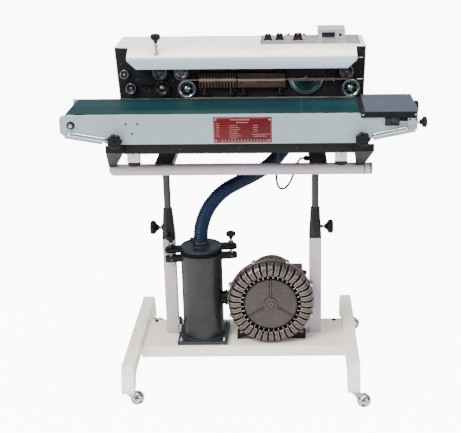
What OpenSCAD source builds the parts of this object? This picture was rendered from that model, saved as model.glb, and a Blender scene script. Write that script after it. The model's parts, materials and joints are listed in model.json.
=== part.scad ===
// Continuous band sealer on a wheeled stand, with a side-channel blower and a filter canister.
// Millimetres. +Z up, +X along the conveyor towards the infeed, -Y the operator's side.
// The origin is on the floor, below the centre of the whole machine.

/* [Stand] */
// Distance between the centres of the two feet
foot_span = 622; // [604:1:640]
// Side of the square steel tube
tube = 35; // [33:1:37]
// Distance between the two columns
column_span = 420; // [416:1:424]
// Height of the columns above the tray
column_h = 300; // [294:1:304]
// Depth of the base tray, front to rear
tray_depth = 186; // [180:1:200]
// Diameter of the ball casters
caster_d = 40; // [38:1:42]
// Distance from a caster's stem to the centre of its ball
caster_trail = 28; // [26:1:30]
// Angle of each caster at rest: front left, front right, rear left, rear right
caster_rest = [45, -8, 10, 0]; // [-30:1:60]

/* [Lifting frame] */
// Diameter of the chromed lift poles
pole_d = 20; // [18:1:20]
// Diameter of the two rails that carry the machine
rail_d = 32; // [30:1:32]
// Height of the rails above the floor
rail_z = 638; // [630:1:638]
// Width of the cross arms
arm_w = 48; // [44:1:50]

/* [Blower and canister] */
// Outer diameter of the blower's ring
blower_d = 248; // [240:1:250]
// Outer diameter of the filter canister
canister_d = 118; // [112:1:118]
// Outer diameter of the corrugated hose
hose_d = 42; // [38:1:42]
// Number of cooling ribs round the blower's cover
blower_ribs = 36; // [24:2:40]

/* [Conveyor] */
// Diameter of the drive roller
drive_roller_d = 54; // [50:1:54]
// Diameter of the idler roller
idler_roller_d = 36; // [30:1:36]
// Thickness of the conveyor belt
belt_t = 2; // [1.5:0.5:2]
// Diameter of the star knobs
star_knob_d = 40; // [36:1:42]
// How far the conveyor can be raised in its slotted brackets
conveyor_rise = 20; // [10:1:24]

/* [Sealing head] */
// Height of the head's top above the floor
head_top = 957.6; // [954:0.2:960]
// Diameter of the upper band wheels
upper_wheel_d = 38; // [36:1:38]
// Diameter of the lower band wheels
lower_wheel_d = 48; // [44:1:48]
// Thickness of the sealing bands
band_t = 0.8; // [0.5:0.1:0.8]
// Number of cooling fins on each cooling block
fin_count = 12; // [8:1:14]
// Height at which the two bands meet and the bag is sealed
nip_z = 870; // [869:0.5:871]

/* [Hidden] */
$fn = 48;

// Radial clearance of every shaft that turns or slides in a bore
run = 0.05;

// Stand
stand_x = -19;
foot_xs = [stand_x - foot_span / 2, stand_x + foot_span / 2];
foot_bottom = 49;
foot_top = 122;
foot_under = 87;
foot_end = 262;
foot_wall = 2.5;
stem_y = 247;
stem_r = 5.5;
stem_top = 70;
tray_top = 109;
tray_h = 33;
sheet = 2;
tray_lip = 14;
column_xs = [stand_x - column_span / 2, stand_x + column_span / 2];
column_y = 6;
column_top = tray_top + column_h;
sleeve_h = 88;
sleeve_top = column_top + sleeve_h;
clamp_z = column_top + 30;
pole_r = pole_d / 2;
pole_bottom = 250;
stud_r = 4;

// Casters: the ball is split on a plane tilted from upright, and the lower half rolls
ball_r = caster_d / 2;
caster_tilt = 30;
hood_split = 2;
wheel_split = 2.5;
axle_r = 3;
caster_sites = [
    [foot_xs[0], -stem_y, caster_rest[0]], [foot_xs[1], -stem_y, caster_rest[1]],
    [foot_xs[0], stem_y, caster_rest[2]], [foot_xs[1], stem_y, caster_rest[3]]
];

// Canister
can_x = -136;
can_y = -16;
can_r = canister_d / 2;
can_wall = 3;
can_base = tray_top + 10;
can_top = 372;
can_flange = [144, 138];
lug_turn = 9;
lug_r = 90;
lug_half = 14;
lug_slot = 9;
clamp_r = 86;
lower_lug = [350, 364];
upper_lug = [378, 392];
lid_top = 392;
lid_plate = 8;
lid_neck = [can_r - 5, can_r - 1];
cuff_top = 410;
cuff_r = 23;
duct_r = 17;
pipe_z = 232;
pipe_y = -22;
pipe_r = 19;
cock_z = 160;
cock_turn = 190;
cock_reach = 68;

// Blower
blow_x = 62.5;
blow_z = 234;
blow_r = blower_d / 2;
chamber_r = 100;
cover_front = -85;
cover_split = -46;
chamber_front = -72;
chamber_rear = -22;
housing_rear = -8;
outlet_x = -3.5;
outlet_z = 176;
outlet_r = 16;
outlet_end = 34;
motor_r = 68;
motor_rear = 130;
rotor_r = 7;

// Lifting frame
rail_r = rail_d / 2;
rail_front_y = -82;
rail_rear_y = 130;
rail_left = -357;
rail_right = 322;
rail_plug = 22;
arm_top = 658;
arm_offset = 6;
arm_plate = 4;
gland_x = 160;
gland_z = 648;
cable_y = -15;

// Machine base
base_x = [-345, 318];
base_y = [-168, 176];
base_z = [708, 736];
leg_xs = [-303, 259];
leg_half = 16;
pad_r = 14;
pad_top = 663;
port_at = [119, 60, 683.5];
port_lean = [0, 31.4, 19];

// Conveyor
panel_y = [-190, -188];
rear_y = [-19, -17];
panel_left = -474;
panel_right = 450;
panel_top = 817;
panel_bottom = 739;
belt_y = [-183, -21];
drive_c = [-444.6, 791];
belt_run_z = 818;
drive_r = drive_roller_d / 2;
idler_r = idler_roller_d / 2;
idler_c = [388, belt_run_z - idler_r];
drive_shaft_r = 6;
idler_shaft_r = 5;
hem_r = 9;
hem_left = [[-464, 763], [-366, 746]];
hem_right = [[335, 752], [446, 774]];
star_left = [-331, 752];
star_right = [308, 753];
bracket_y = [-187.5, -184.5];
tension_z = 795;
tension_front_y = -195;
tension_rear_y = -11;
table_x = [314, 452];
table_z = [822, 825];
table_edge = [302, 314];

// Sealing head
head_left = [-340, -353];
head_right = [321, 329];
head_y = [2, 178];
hood_x = [-315, 302];
hood_front = -39;
hood_z = [905, 937];
plate_y = [2, 6];
wheel_y = [-15, -5];
band_y = [-14.5, -5.5];
wheel_shaft_r = 4;
upper_r = upper_wheel_d / 2;
lower_r = lower_wheel_d / 2;
upper_z = nip_z + 1 + upper_r - run;
lower_z = nip_z - 1 - lower_r + run;
upper_xs = [-172, 275];
lower_xs = [-158, 287];
emboss_upper = [-231, 890, 19.5];
emboss_lower = [-226, 848, 20];
exit_upper = [-327, 887, 12];
exit_lower = [-311, 848, 14];
disc = [165, 874, 47];
cooling_x = [-125, -24];
heating_x = [-20, 109];
panel_x = [41, 316];
panel_plate_y = [29, 172];
panel_plate_top = head_top + 2;
power_at = [62, 88];
heater_at = [94, 95];
speed_at = [145, 92];
lamp_at = [[119, 143], [162, 146]];
pressure_at = [-236, -26];

// Route of the hose, from the lid's cuff to the port under the machine base
hose_route = [
    [-136, -16, 410], [-136, -16, 414], [-134.3, -15.6, 438], [-129, -14.3, 462],
    [-120.5, -12.1, 484.5], [-109, -9.2, 505.5], [-94, -5.6, 525], [-77, -1.3, 541.5],
    [-57.7, 3.5, 555.3], [-36.6, 8.8, 566], [-15, 14.5, 575.5], [7, 21, 585],
    [28, 28, 594.5], [46.8, 34.6, 604.5], [64.4, 40.8, 616.7], [80.6, 46.5, 631],
    [95.2, 51.7, 647], [108, 56.2, 664.5], [119, 60, 683.5]
];
// Route of the cable, from the gland on the right cross arm to the underside of the machine base
cable_route = [
    [160, -15, 648], [152, -15, 648], [144, -15, 640], [138, -15, 628],
    [133, -15, 612], [127, -15, 595], [120, -15, 579], [111, -15, 566],
    [100, -15, 559], [90, -15, 563], [84, -15, 576], [82, -15, 593],
    [83, -15, 612], [85, -15, 633], [88, -15, 656], [90, -15, 680],
    [92, -15, 696], [92, -15, 708]
];

// ---- Shared shapes ----

module block(x, y, z) {
    translate([x[0], y[0], z[0]]) cube([x[1] - x[0], y[1] - y[0], z[1] - z[0]]);
}

module x_cyl(x, y, z, r) {
    translate([x[0], y, z]) rotate([0, 90, 0]) cylinder(h = x[1] - x[0], r = r);
}

module y_cyl(y, x, z, r) {
    translate([x, y[0], z]) rotate([-90, 0, 0]) cylinder(h = y[1] - y[0], r = r);
}

module z_cyl(z, x, y, r) {
    translate([x, y, z[0]]) cylinder(h = z[1] - z[0], r = r);
}

// A profile drawn in Y and Z, extruded along X
module extrude_x(x) {
    translate([x[0], 0, 0]) rotate([90, 0, 90]) linear_extrude(x[1] - x[0]) children();
}

// A profile drawn in X and Z, extruded along Y
module extrude_y(y) {
    translate([0, y[1], 0]) rotate([90, 0, 0]) linear_extrude(y[1] - y[0]) children();
}

// A profile drawn as radius and Y, turned about an axis along Y
module revolve_y(x, z) {
    translate([x, 0, z]) rotate([-90, 0, 0]) rotate_extrude() children();
}

// A lobed hand knob on +Z, with its narrow neck at the bottom
module star_knob(d, h, lobes = 7) {
    neck = 0.42 * h;
    cylinder(h = neck, r1 = 0.16 * d, r2 = 0.34 * d);
    translate([0, 0, neck]) linear_extrude(h - neck) {
        circle(0.4 * d);
        for (i = [0:lobes - 1]) rotate(i * 360 / lobes) translate([0.38 * d, 0]) circle(0.12 * d);
    }
}

// The outline of a belt round two wheels, in X and Z
module loop_2d(c1, r1, c2, r2) {
    d = c2 - c1;
    dir = atan2(d[1], d[0]);
    open = acos((r1 - r2) / norm(d));
    translate(c1) circle(r1);
    translate(c2) circle(r2);
    polygon([
        c1 + r1 * [cos(dir + open), sin(dir + open)],
        c1 + r1 * [cos(dir - open), sin(dir - open)],
        c2 + r2 * [cos(dir - open), sin(dir - open)],
        c2 + r2 * [cos(dir + open), sin(dir + open)]
    ]);
}

// A belt of thickness t round two wheels, clear of them by the running clearance
module belt_loop(y, c1, r1, c2, r2, t) {
    extrude_y(y) difference() {
        loop_2d(c1, r1 + run + t, c2, r2 + run + t);
        loop_2d(c1, r1 + run, c2, r2 + run);
    }
}

// Frames along a route: each ring lies across the mean of its two neighbouring stretches
function unit(v) = v / norm(v);
function heading(p, i) = unit(p[min(i + 1, len(p) - 1)] - p[max(i - 1, 0)]);
function side_of(t) = unit(cross(t, [0, 1, 0.001]));
function ring(p, i, r, sides) =
    let (t = heading(p, i), u = side_of(t), v = cross(t, u))
    [for (k = [0:sides - 1]) p[i] + r * (cos(k * 360 / sides) * u + sin(k * 360 / sides) * v)];

// A tube swept along a route as one closed solid
module swept_tube(p, r, sides) {
    n = len(p);
    points = [for (i = [0:n - 1]) each ring(p, i, r, sides)];
    walls = [
        for (i = [0:n - 2], k = [0:sides - 1])
            let (a = i * sides + k, b = i * sides + (k + 1) % sides)
            each [[a, a + sides, b], [b, a + sides, b + sides]]
    ];
    first_cap = [for (k = [0:sides - 1]) k];
    last_cap = [for (k = [sides - 1:-1:0]) (n - 1) * sides + k];
    polyhedron(points, concat([first_cap, last_cap], walls), convexity = 4);
}

// ---- Stand ----

// Inverted sheet pan between the two feet
module base_tray() {
    half = tray_depth / 2;
    x = [foot_xs[0] + tube / 2, foot_xs[1] - tube / 2];
    color("antiquewhite") difference() {
        block(x, [-half, half], [tray_top - tray_h, tray_top]);
        block([x[0] - 1, x[1] + 1], [-half + sheet, half - sheet],
              [tray_top - tray_h + sheet, tray_top - sheet]);
        block([x[0] - 1, x[1] + 1], [-half + tray_lip, half - tray_lip],
              [0, tray_top - tray_h + 2 * sheet]);
    }
}

// Two square tubes with their ends turned down to the casters
module feet() {
    knee = 240;
    profile = [
        [-foot_end, foot_bottom], [-foot_end + 30, foot_bottom], [-205, foot_under], [205, foot_under],
        [foot_end - 30, foot_bottom], [foot_end, foot_bottom], [foot_end, 62], [knee, foot_top],
        [-knee, foot_top], [-foot_end, 62]
    ];
    color("linen") for (x = foot_xs) difference() {
        extrude_x([x - tube / 2, x + tube / 2]) polygon(profile);
        block([x - tube / 2 + foot_wall, x + tube / 2 - foot_wall], [-200, 200],
              [foot_under + foot_wall, foot_top - foot_wall]);
        for (side = [-1, 1]) z_cyl([foot_bottom - 1, stem_top + 2], x, side * stem_y, stem_r + run);
    }
}

// Two square posts, open at the top
module columns() {
    half = tube / 2;
    color("thistle") for (x = column_xs) difference() {
        block([x - half, x + half], [column_y - half, column_y + half], [tray_top, column_top]);
        block([x - half + sheet, x + half - sheet], [column_y - half + sheet, column_y + half - sheet],
              [tray_top - 1, column_top + 1]);
    }
}

// Tapered clamp sleeves that guide the poles, each with a threaded hole for its knob
module pole_sleeves() {
    half = tube / 2;
    plug = half - sheet - 0.1;
    color("dimgray") for (i = [0, 1]) difference() {
        x = column_xs[i];
        union() {
            hull() {
                block([x - half, x + half], [column_y - half, column_y + half],
                      [column_top, column_top + 8]);
                z_cyl([sleeve_top - 1, sleeve_top], x, column_y, 13, $fn = 32);
            }
            block([x - plug, x + plug], [column_y - plug, column_y + plug],
                  [column_top - 20, column_top + 1]);
        }
        z_cyl([column_top - 21, sleeve_top + 1], x, column_y, pole_r + run);
        x_cyl(i == 0 ? [x - half - 1, x] : [x, x + half + 1], column_y, clamp_z, stud_r + run);
    }
}

// A knob that presses its stud against a pole; side is -1 on the left and 1 on the right
module sleeve_knob(i) {
    side = i == 0 ? -1 : 1;
    x = column_xs[i];
    color("black") translate([x, column_y, clamp_z]) rotate([0, side * 90, 0]) {
        translate([0, 0, 26]) star_knob(star_knob_d, 26);
        translate([0, 0, pole_r + 2 * run]) cylinder(h = 17, r = stud_r);
    }
}

module sleeve_knob_left() { sleeve_knob(0); }
module sleeve_knob_right() { sleeve_knob(1); }

// ---- Casters ----

// Moves a caster's shapes from its own axis to its place and rest angle
module at_caster(i) {
    translate([caster_sites[i][0], caster_sites[i][1], 0]) rotate(caster_sites[i][2]) children();
}

// Turns +Z to the tilted axle of the rolling half-ball
module at_axle() {
    translate([caster_trail, 0, ball_r]) rotate([90 + caster_tilt, 0, 0]) children();
}

// The chromed upper half of the ball, with its horn, stem and axle
module caster_hood(i) {
    color("silver") at_caster(i) {
        difference() {
            union() {
                translate([caster_trail, 0, ball_r]) sphere(r = ball_r - 0.4);
                hull() {
                    translate([0, 0, foot_bottom - 6]) cylinder(h = 5, r = 8, $fn = 32);
                    translate([caster_trail - 5, 0, ball_r + 5]) sphere(r = 11, $fn = 32);
                }
            }
            at_axle() translate([-50, -50, hood_split]) cube([100, 100, 60]);
            translate([-50, -50, -1]) cube([100, 100, 6]);
        }
        translate([0, 0, foot_bottom - 2]) cylinder(h = stem_top - foot_bottom + 2, r = stem_r);
        at_axle() cylinder(h = 14, r = axle_r);
    }
}

// The rolling half-ball
module caster_wheel(i) {
    color("gray") at_caster(i) at_axle() difference() {
        sphere(r = ball_r);
        translate([0, 0, wheel_split - 50]) cube([100, 100, 100], center = true);
        cylinder(h = 14.2, r = axle_r + run);
    }
}

module caster_hood_fl() { caster_hood(0); }
module caster_hood_fr() { caster_hood(1); }
module caster_hood_rl() { caster_hood(2); }
module caster_hood_rr() { caster_hood(3); }
module caster_wheel_fl() { caster_wheel(0); }
module caster_wheel_fr() { caster_wheel(1); }
module caster_wheel_rl() { caster_wheel(2); }
module caster_wheel_rr() { caster_wheel(3); }

// ---- Filter canister ----

// Moves a shape drawn along +X from the canister's axis to one of its two lug directions
module at_lug(side) {
    translate([can_x, can_y, 0]) rotate(lug_turn + (side < 0 ? 180 : 0)) children();
}

// A slotted lug that the swing bolt stands in
module lug(z, slot_from) {
    difference() {
        union() {
            block([can_r - 4, lug_r], [-lug_half, lug_half], z);
            z_cyl(z, lug_r, 0, lug_half);
        }
        block([slot_from, 120], [-lug_slot / 2, lug_slot / 2], [z[0] - 1, z[1] + 1]);
    }
}

// Vessel with its flange, its pipe to the blower and the two lower lugs with their pivot pins
module canister_body() {
    half = can_flange / 2;
    color("slategray") difference() {
        union() {
            block([can_x - half[0], can_x + half[0]], [can_y + 1 - half[1], can_y + 1 + half[1]],
                  [tray_top, can_base]);
            z_cyl([can_base, can_top], can_x, can_y, can_r);
            for (side = [-1, 1]) at_lug(side) {
                lug(lower_lug, clamp_r - 8);
                translate([clamp_r, -lug_half, 357]) rotate([-90, 0, 0])
                    cylinder(h = 2 * lug_half, r = axle_r);
            }
            x_cyl([can_x + can_r - 5, blow_x - blow_r - 1], pipe_y, pipe_z, pipe_r);
            translate([can_x, can_y, cock_z]) rotate([0, 90, cock_turn]) cylinder(h = cock_reach, r = 5);
            translate([can_x, can_y, cock_z]) rotate(cock_turn) translate([cock_reach, 0, 0]) {
                rotate([90, 0, 0]) cylinder(h = 16, r = 8, center = true);
                translate([0, 0, -32]) cylinder(h = 30, r = 5);
            }
        }
        z_cyl([can_base + 1, can_top + 1], can_x, can_y, can_r - can_wall);
        x_cyl([can_x, blow_x - blow_r], pipe_y, pipe_z, pipe_r - 3);
        translate([can_x, can_y, cock_z]) rotate(cock_turn) translate([cock_reach, 0, 0])
            rotate([90, 0, 0]) cylinder(h = 20, r = 4 + run, center = true);
        translate([can_x, can_y, cock_z]) rotate(cock_turn) translate([cock_reach, 0, -33])
            cylinder(h = 26, r = 2.5);
    }
}

// The drain cock's plug and its lever
module drain_cock() {
    color("black") translate([can_x, can_y, cock_z]) rotate(cock_turn) translate([cock_reach, 0, 0]) {
        rotate([90, 0, 0]) translate([0, 0, -12]) cylinder(h = 20, r = 4);
        translate([-3.5, -1, 0]) rotate([90, 0, 0]) translate([0, 0, -13]) cube([7, 20, 3]);
        rotate([90, 0, 0]) translate([0, 0, -12]) cylinder(h = 4, r = 5.5);
    }
}

// Lid on its neck, with its upper lugs and the cuff that the hose is pushed into
module canister_lid() {
    color("darkslategray") difference() {
        union() {
            z_cyl([can_top, lid_top - lid_plate + 1], can_x, can_y, lid_neck[1]);
            z_cyl([lid_top - lid_plate, lid_top], can_x, can_y, can_r - 0.5);
            z_cyl([lid_top, cuff_top], can_x, can_y, cuff_r);
            for (side = [-1, 1]) at_lug(side) difference() {
                lug(upper_lug, clamp_r - 5);
                extrude_y([-20, 20]) polygon([
                    [clamp_r + 7, lid_top], [clamp_r + 7, lid_top + 1],
                    [clamp_r + 20, lid_top + 1], [clamp_r + 20, lid_top - 6]
                ]);
            }
            z_cyl([lid_top, lid_top + 8], can_x - 30, can_y + 38, 6);
        }
        z_cyl([can_top - 1, cuff_top + 1], can_x, can_y, duct_r);
        z_cyl([can_top - 1, lid_top - lid_plate], can_x, can_y, lid_neck[0]);
    }
}

// A swing bolt with its eye round the pivot pin and its hand knob on top
module lid_clamp(side) {
    color("black") at_lug(side) translate([clamp_r, 0, 0]) {
        difference() {
            union() {
                translate([0, -4.2, 357]) rotate([-90, 0, 0]) cylinder(h = 8.4, r = 7);
                translate([0, 0, 357]) cylinder(h = 60, r = stud_r);
            }
            translate([0, -5, 357]) rotate([-90, 0, 0]) cylinder(h = 10, r = axle_r + run);
        }
        translate([0, 0, upper_lug[1] + 1]) cylinder(h = 8, r = 7);
        translate([0, 0, 406]) star_knob(28, 22);
    }
}

module lid_clamp_left() { lid_clamp(-1); }
module lid_clamp_right() { lid_clamp(1); }

// Corrugated hose between the canister and the machine
module hose() {
    color("midnightblue") swept_tube(hose_route, hose_d / 2, 12);
}

// ---- Blower ----

// Front casing with radial cooling ribs and three stiffening ridges
module blower_cover() {
    rim = blow_r - 3;
    color("rosybrown") difference() {
        union() {
            revolve_y(blow_x, blow_z) polygon([
                [0, cover_front + 6], [74, cover_front + 6], [80, cover_front + 9], [86, cover_front + 3],
                [104, cover_front], [114, cover_front + 6], [rim, cover_front + 18], [rim, cover_split - 8],
                [blow_r, cover_split - 8], [blow_r, cover_split], [0, cover_split]
            ]);
            translate([blow_x, 0, blow_z]) for (i = [0:blower_ribs - 1])
                rotate([0, i * 360 / blower_ribs, 0])
                translate([88, cover_front - 3, -2.2]) cube([rim - 88, 28, 4.4]);
            translate([blow_x, 0, blow_z]) for (a = [-90, 30, 150]) rotate([0, a, 0])
                translate([10, cover_front + 3, -1.5]) cube([66, 5, 3]);
            y_cyl([cover_front, cover_front + 7], blow_x, blow_z, 17);
        }
        y_cyl([chamber_front, cover_split + 1], blow_x, blow_z, chamber_r);
    }
}

// Rear casing with the inlet and outlet ports and the mounting foot
module blower_housing() {
    color("tan") difference() {
        union() {
            revolve_y(blow_x, blow_z) polygon([
                [0, cover_split], [blow_r, cover_split], [blow_r, cover_split + 8],
                [blow_r - 4, cover_split + 10],
                [116, -18], [106, housing_rear - 2], [0, housing_rear]
            ]);
            x_cyl([blow_x - blow_r - 1, blow_x - 90], pipe_y, pipe_z, pipe_r + 3);
            y_cyl([housing_rear - 2, outlet_end], outlet_x, outlet_z, outlet_r);
            block([blow_x - 100, blow_x + 100], [cover_split, housing_rear], [tray_top, tray_top + 16]);
        }
        y_cyl([cover_split - 1, chamber_rear], blow_x, blow_z, chamber_r);
        y_cyl([chamber_rear - 1, housing_rear + 1], blow_x, blow_z, rotor_r + run);
        x_cyl([blow_x - blow_r - 2, blow_x - 80], pipe_y, pipe_z, pipe_r - 3);
        y_cyl([chamber_rear - 1, outlet_end + 1], outlet_x, outlet_z, outlet_r - 3);
    }
}

// Motor with cooling fins, fan cowl and terminal box
module blower_motor() {
    fins = 28;
    color("tan") {
        difference() {
            union() {
                y_cyl([housing_rear, motor_rear - 30], blow_x, blow_z, motor_r - 4);
                translate([blow_x, 0, blow_z]) for (i = [0:fins - 1]) rotate([0, i * 360 / fins, 0])
                    translate([motor_r - 6, housing_rear + 6, -1.2]) cube([6, 82, 2.4]);
                y_cyl([motor_rear - 34, motor_rear], blow_x, blow_z, motor_r + 2);
            }
            y_cyl([housing_rear - 1, 100], blow_x, blow_z, rotor_r + run);
            translate([blow_x, 0, blow_z]) for (i = [0:11]) rotate([0, i * 30, 0])
                translate([30, motor_rear - 3, -4]) cube([26, 4, 8]);
            translate([blow_x, 0, blow_z]) for (i = [0:15]) rotate([0, i * 22.5, 0])
                translate([motor_r - 1, motor_rear - 26, -5]) cube([4, 8, 10]);
        }
        difference() {
            union() {
                block([blow_x + 40, blow_x + 92], [8, 70], [blow_z + 31, blow_z + 64]);
                x_cyl([blow_x + 91, blow_x + 102], 40, blow_z + 48, 7);
            }
            y_cyl([7, 71], blow_x, blow_z, motor_r + run);
        }
    }
}

// Bladed rotor on the motor's shaft
module impeller() {
    blades = 24;
    color("silver") {
        y_cyl([-50, -42], blow_x, blow_z, 90);
        translate([blow_x, 0, blow_z]) for (i = [0:blades - 1]) rotate([0, i * 360 / blades, 0])
            translate([72, -66, -1.5]) cube([24, 38, 3]);
        y_cyl([-64, -28], blow_x, blow_z, 20);
        y_cyl([-60, 98], blow_x, blow_z, rotor_r);
    }
}

// ---- Lifting frame ----

// Two round tubes with end plugs, which the machine stands on
module rails() {
    color("mistyrose") for (y = [rail_front_y, rail_rear_y]) {
        difference() {
            x_cyl([rail_left, rail_right], y, rail_z, rail_r);
            x_cyl([rail_left - 1, rail_right + 1], y, rail_z, rail_r - sheet);
        }
        difference() {
            translate([rail_left, y, rail_z]) sphere(r = rail_r);
            block([rail_left, rail_left + 2 * rail_r], [y - 2 * rail_r, y + 2 * rail_r],
                  [rail_z - 2 * rail_r, rail_z + 2 * rail_r]);
        }
        x_cyl([rail_right, rail_right + rail_plug], y, rail_z, rail_r);
    }
}

// Cross arms welded to the tops of the poles, and the gland for the cable
module lift_arms() {
    half = arm_w / 2;
    color("darkslategray") for (x = column_xs) {
        mid = x + arm_offset;
        block([mid - half, mid + half], [rail_front_y - 14, rail_rear_y + 14],
              [arm_top - arm_plate, arm_top]);
        for (edge = [mid - half, mid + half - 3])
            block([edge, edge + 3], [rail_front_y + rail_r + 4, rail_rear_y - rail_r - 4],
                  [arm_top - 22, arm_top - arm_plate]);
        difference() {
            z_cyl([pole_bottom, arm_top - arm_plate], x, column_y, pole_r);
            z_cyl([pole_bottom - 1, arm_top - 12], x, column_y, pole_r - sheet);
        }
    }
    color("black") x_cyl([gland_x, column_xs[1] + arm_offset - half], cable_y, gland_z, 7);
}

// ---- Machine base ----

// Shallow closed chassis on four legs with rubber pads, and the port for the hose
module machine_base() {
    color("dimgray") difference() {
        union() {
            block(base_x, base_y, base_z);
            for (x = leg_xs, y = [rail_front_y, rail_rear_y]) {
                block([x - leg_half, x + leg_half], [y - leg_half, y + leg_half], [pad_top, base_z[0]]);
                z_cyl([rail_z + rail_r - 3, pad_top], x, y, pad_r);
            }
            translate(port_at) rotate(port_lean) translate([0, 0, 0.2]) cylinder(h = 32, r = cuff_r);
            y_cyl([base_y[1] - 1, base_y[1] + 12], 250, 722, 7);
        }
        block([base_x[0] + sheet, base_x[1] - sheet], [base_y[0] + sheet, base_y[1] - sheet],
              [base_z[0] + sheet, base_z[1] - sheet]);
        for (y = [rail_front_y, rail_rear_y]) x_cyl([rail_left, rail_right], y, rail_z, rail_r + run);
        translate(port_at) rotate(port_lean) translate([0, 0, -1]) cylinder(h = 34, r = duct_r);
    }
}

// ---- Conveyor ----

// A slotted plate behind the front panel, and a tapered leg down to the rail
module bracket(at, wide, narrow, foot) {
    slope = atan2(61.5, 87.5);
    color("black") {
        difference() {
            union() {
                block(wide, bracket_y, [715, 735]);
                block(narrow, bracket_y, [734, at[1] + conveyor_rise + 10]);
            }
            hull() for (rise = [0, conveyor_rise])
                y_cyl([-190, -180], at[0], at[1] + rise, stud_r + 2 * run, $fn = 32);
        }
        translate([0, bracket_y[0], 716]) rotate([-slope, 0, 0]) linear_extrude(3)
            polygon([[wide[0], 0], [wide[1], 0], [foot[1], 107], [foot[0], 107]]);
        difference() {
            block(foot, [rail_front_y - rail_r - 3, rail_front_y + 4],
                  [rail_z + rail_r - 1.5, rail_z + rail_r + 3]);
            x_cyl([foot[0] - 1, foot[1] + 1], rail_front_y, rail_z, rail_r + run);
        }
    }
}

module conveyor_brackets() {
    bracket(star_left, [-360, -313], [-352, -318], [-370, -349]);
    bracket(star_right, [288, 340], [291, 325], [298, 321]);
}

// Outline of the front panel, with a rounded top left corner
function panel_outline() = concat(
    [[panel_left, 771], hem_left[0], hem_left[1], [-350, panel_bottom], [320, panel_bottom]],
    [hem_right[0], hem_right[1], [panel_right, hem_right[1][1]], [panel_right, panel_top]],
    [for (a = [90:15:180]) [panel_left + 12 + 12 * cos(a), panel_top - 12 + 12 * sin(a)]]
);

// Folded front panel with rolled hems, and the blocks that hold the front tension screw
module front_panel() {
    color("lightsteelblue") {
        difference() {
            union() {
                extrude_y(panel_y) polygon(panel_outline());
                block([panel_left + 14, table_edge[0] - 1], [panel_y[0], panel_y[1] + 3],
                      [panel_top - 1.5, panel_top]);
            }
            y_cyl([-195, -180], drive_c[0], drive_c[1], drive_shaft_r + run);
            block([372, 404], [-195, -180],
                  [idler_c[1] - idler_shaft_r - run, idler_c[1] + idler_shaft_r + run]);
            for (at = [star_left, star_right]) y_cyl([-195, -180], at[0], at[1], stud_r + run);
        }
        difference() {
            block([424, panel_right], [panel_y[0] - 9, panel_y[0]], [tension_z - 6, tension_z + 11]);
            x_cyl([423, panel_right + 1], tension_front_y, tension_z, axle_r + run);
        }
        for (hem = [hem_left, hem_right]) hem_roll(hem);
    }
}

// A rolled hem behind the panel's slanted lower edge, relieved where the belt turns and returns above it
module hem_roll(ends) {
    d = ends[1] - ends[0];
    clear = drive_r + belt_t + 1.5;
    difference() {
        translate([ends[0][0], panel_y[0] + hem_r + 0.4, ends[0][1]]) rotate([0, 90 - atan2(d[1], d[0]), 0])
            translate([0, 0, 1]) cylinder(h = norm(d) - 2, r = hem_r);
        y_cyl([belt_y[0] - 2, belt_y[0] + 2 * hem_r], drive_c[0], drive_c[1], clear);
        block([drive_c[0], hem_left[1][0] + hem_r], [belt_y[0] - 2, belt_y[0] + 2 * hem_r],
              [drive_c[1] - clear, drive_c[1]]);
    }
}

// Slider bed, cross members and rear panel
module conveyor_frame() {
    color("gainsboro") {
        difference() {
            block([-470, 446], rear_y, [750, 821]);
            y_cyl([-25, -10], drive_c[0], drive_c[1], drive_shaft_r + run);
            block([372, 404], [-25, -10],
                  [idler_c[1] - idler_shaft_r - run, idler_c[1] + idler_shaft_r + run]);
        }
        block([-405, 355], belt_y, [815, belt_run_z - 0.5]);
        for (x = [-380, -200, 0, 200, 325]) {
            block([x - 8, x + 8], [panel_y[1], rear_y[0]], [790, 803]);
            block([x - 2, x + 2], belt_y, [803, 815]);
        }
        difference() {
            block([412, 446], [rear_y[1] + run, rear_y[1] + 11], [tension_z - 7, tension_z + 7]);
            x_cyl([411, 451], tension_rear_y, tension_z, axle_r + run);
        }
    }
    guides = [[panel_y[0] - 7, panel_y[0] - 0.2], [rear_y[1] + 0.2, rear_y[1] + 7]];
    color("black") for (y = guides) difference() {
        block([366, 402.5], y, [tension_z - 9, 806]);
        y_cyl([y[0] - 1, y[1] + 1], idler_c[0], idler_c[1], idler_shaft_r + run);
    }
}

module conveyor_belt() {
    color("darkgreen") belt_loop(belt_y, drive_c, drive_r, idler_c, idler_r, belt_t);
}

module drive_roller() {
    color("silver") {
        y_cyl([belt_y[0] - 1, belt_y[1] + 1], drive_c[0], drive_c[1], drive_r);
        y_cyl([panel_y[0] - 1, rear_y[1] + 2], drive_c[0], drive_c[1], drive_shaft_r);
        y_cyl([panel_y[0] - 6, panel_y[0] - 1], drive_c[0], drive_c[1], 8, $fn = 6);
    }
}

module idler_roller() {
    color("silver") {
        y_cyl([belt_y[0] - 1, belt_y[1] + 1], idler_c[0], idler_c[1], idler_r);
        y_cyl([panel_y[0] - 8, rear_y[1] + 8], idler_c[0], idler_c[1], idler_shaft_r);
    }
}

// Plate over the infeed end, with its folded front strip and the lower edge that the belt leaves from
module infeed_table() {
    color("slategray") {
        difference() {
            union() {
                block(table_x, [panel_y[0] - 6, 0], table_z);
                block(table_edge, [panel_y[0] - 6, belt_y[1]], [table_z[0], table_z[1] - 1]);
            }
            block([table_edge[0] - 1, table_x[1] + 1], [panel_y[0] + 2, -2],
                  [table_z[0] - 1, table_z[0] + 0.5]);
        }
        block([table_edge[0] + 2, table_x[1] - 3], [panel_y[0] - 4, panel_y[0]], [806.5, table_z[0]]);
    }
}

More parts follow.
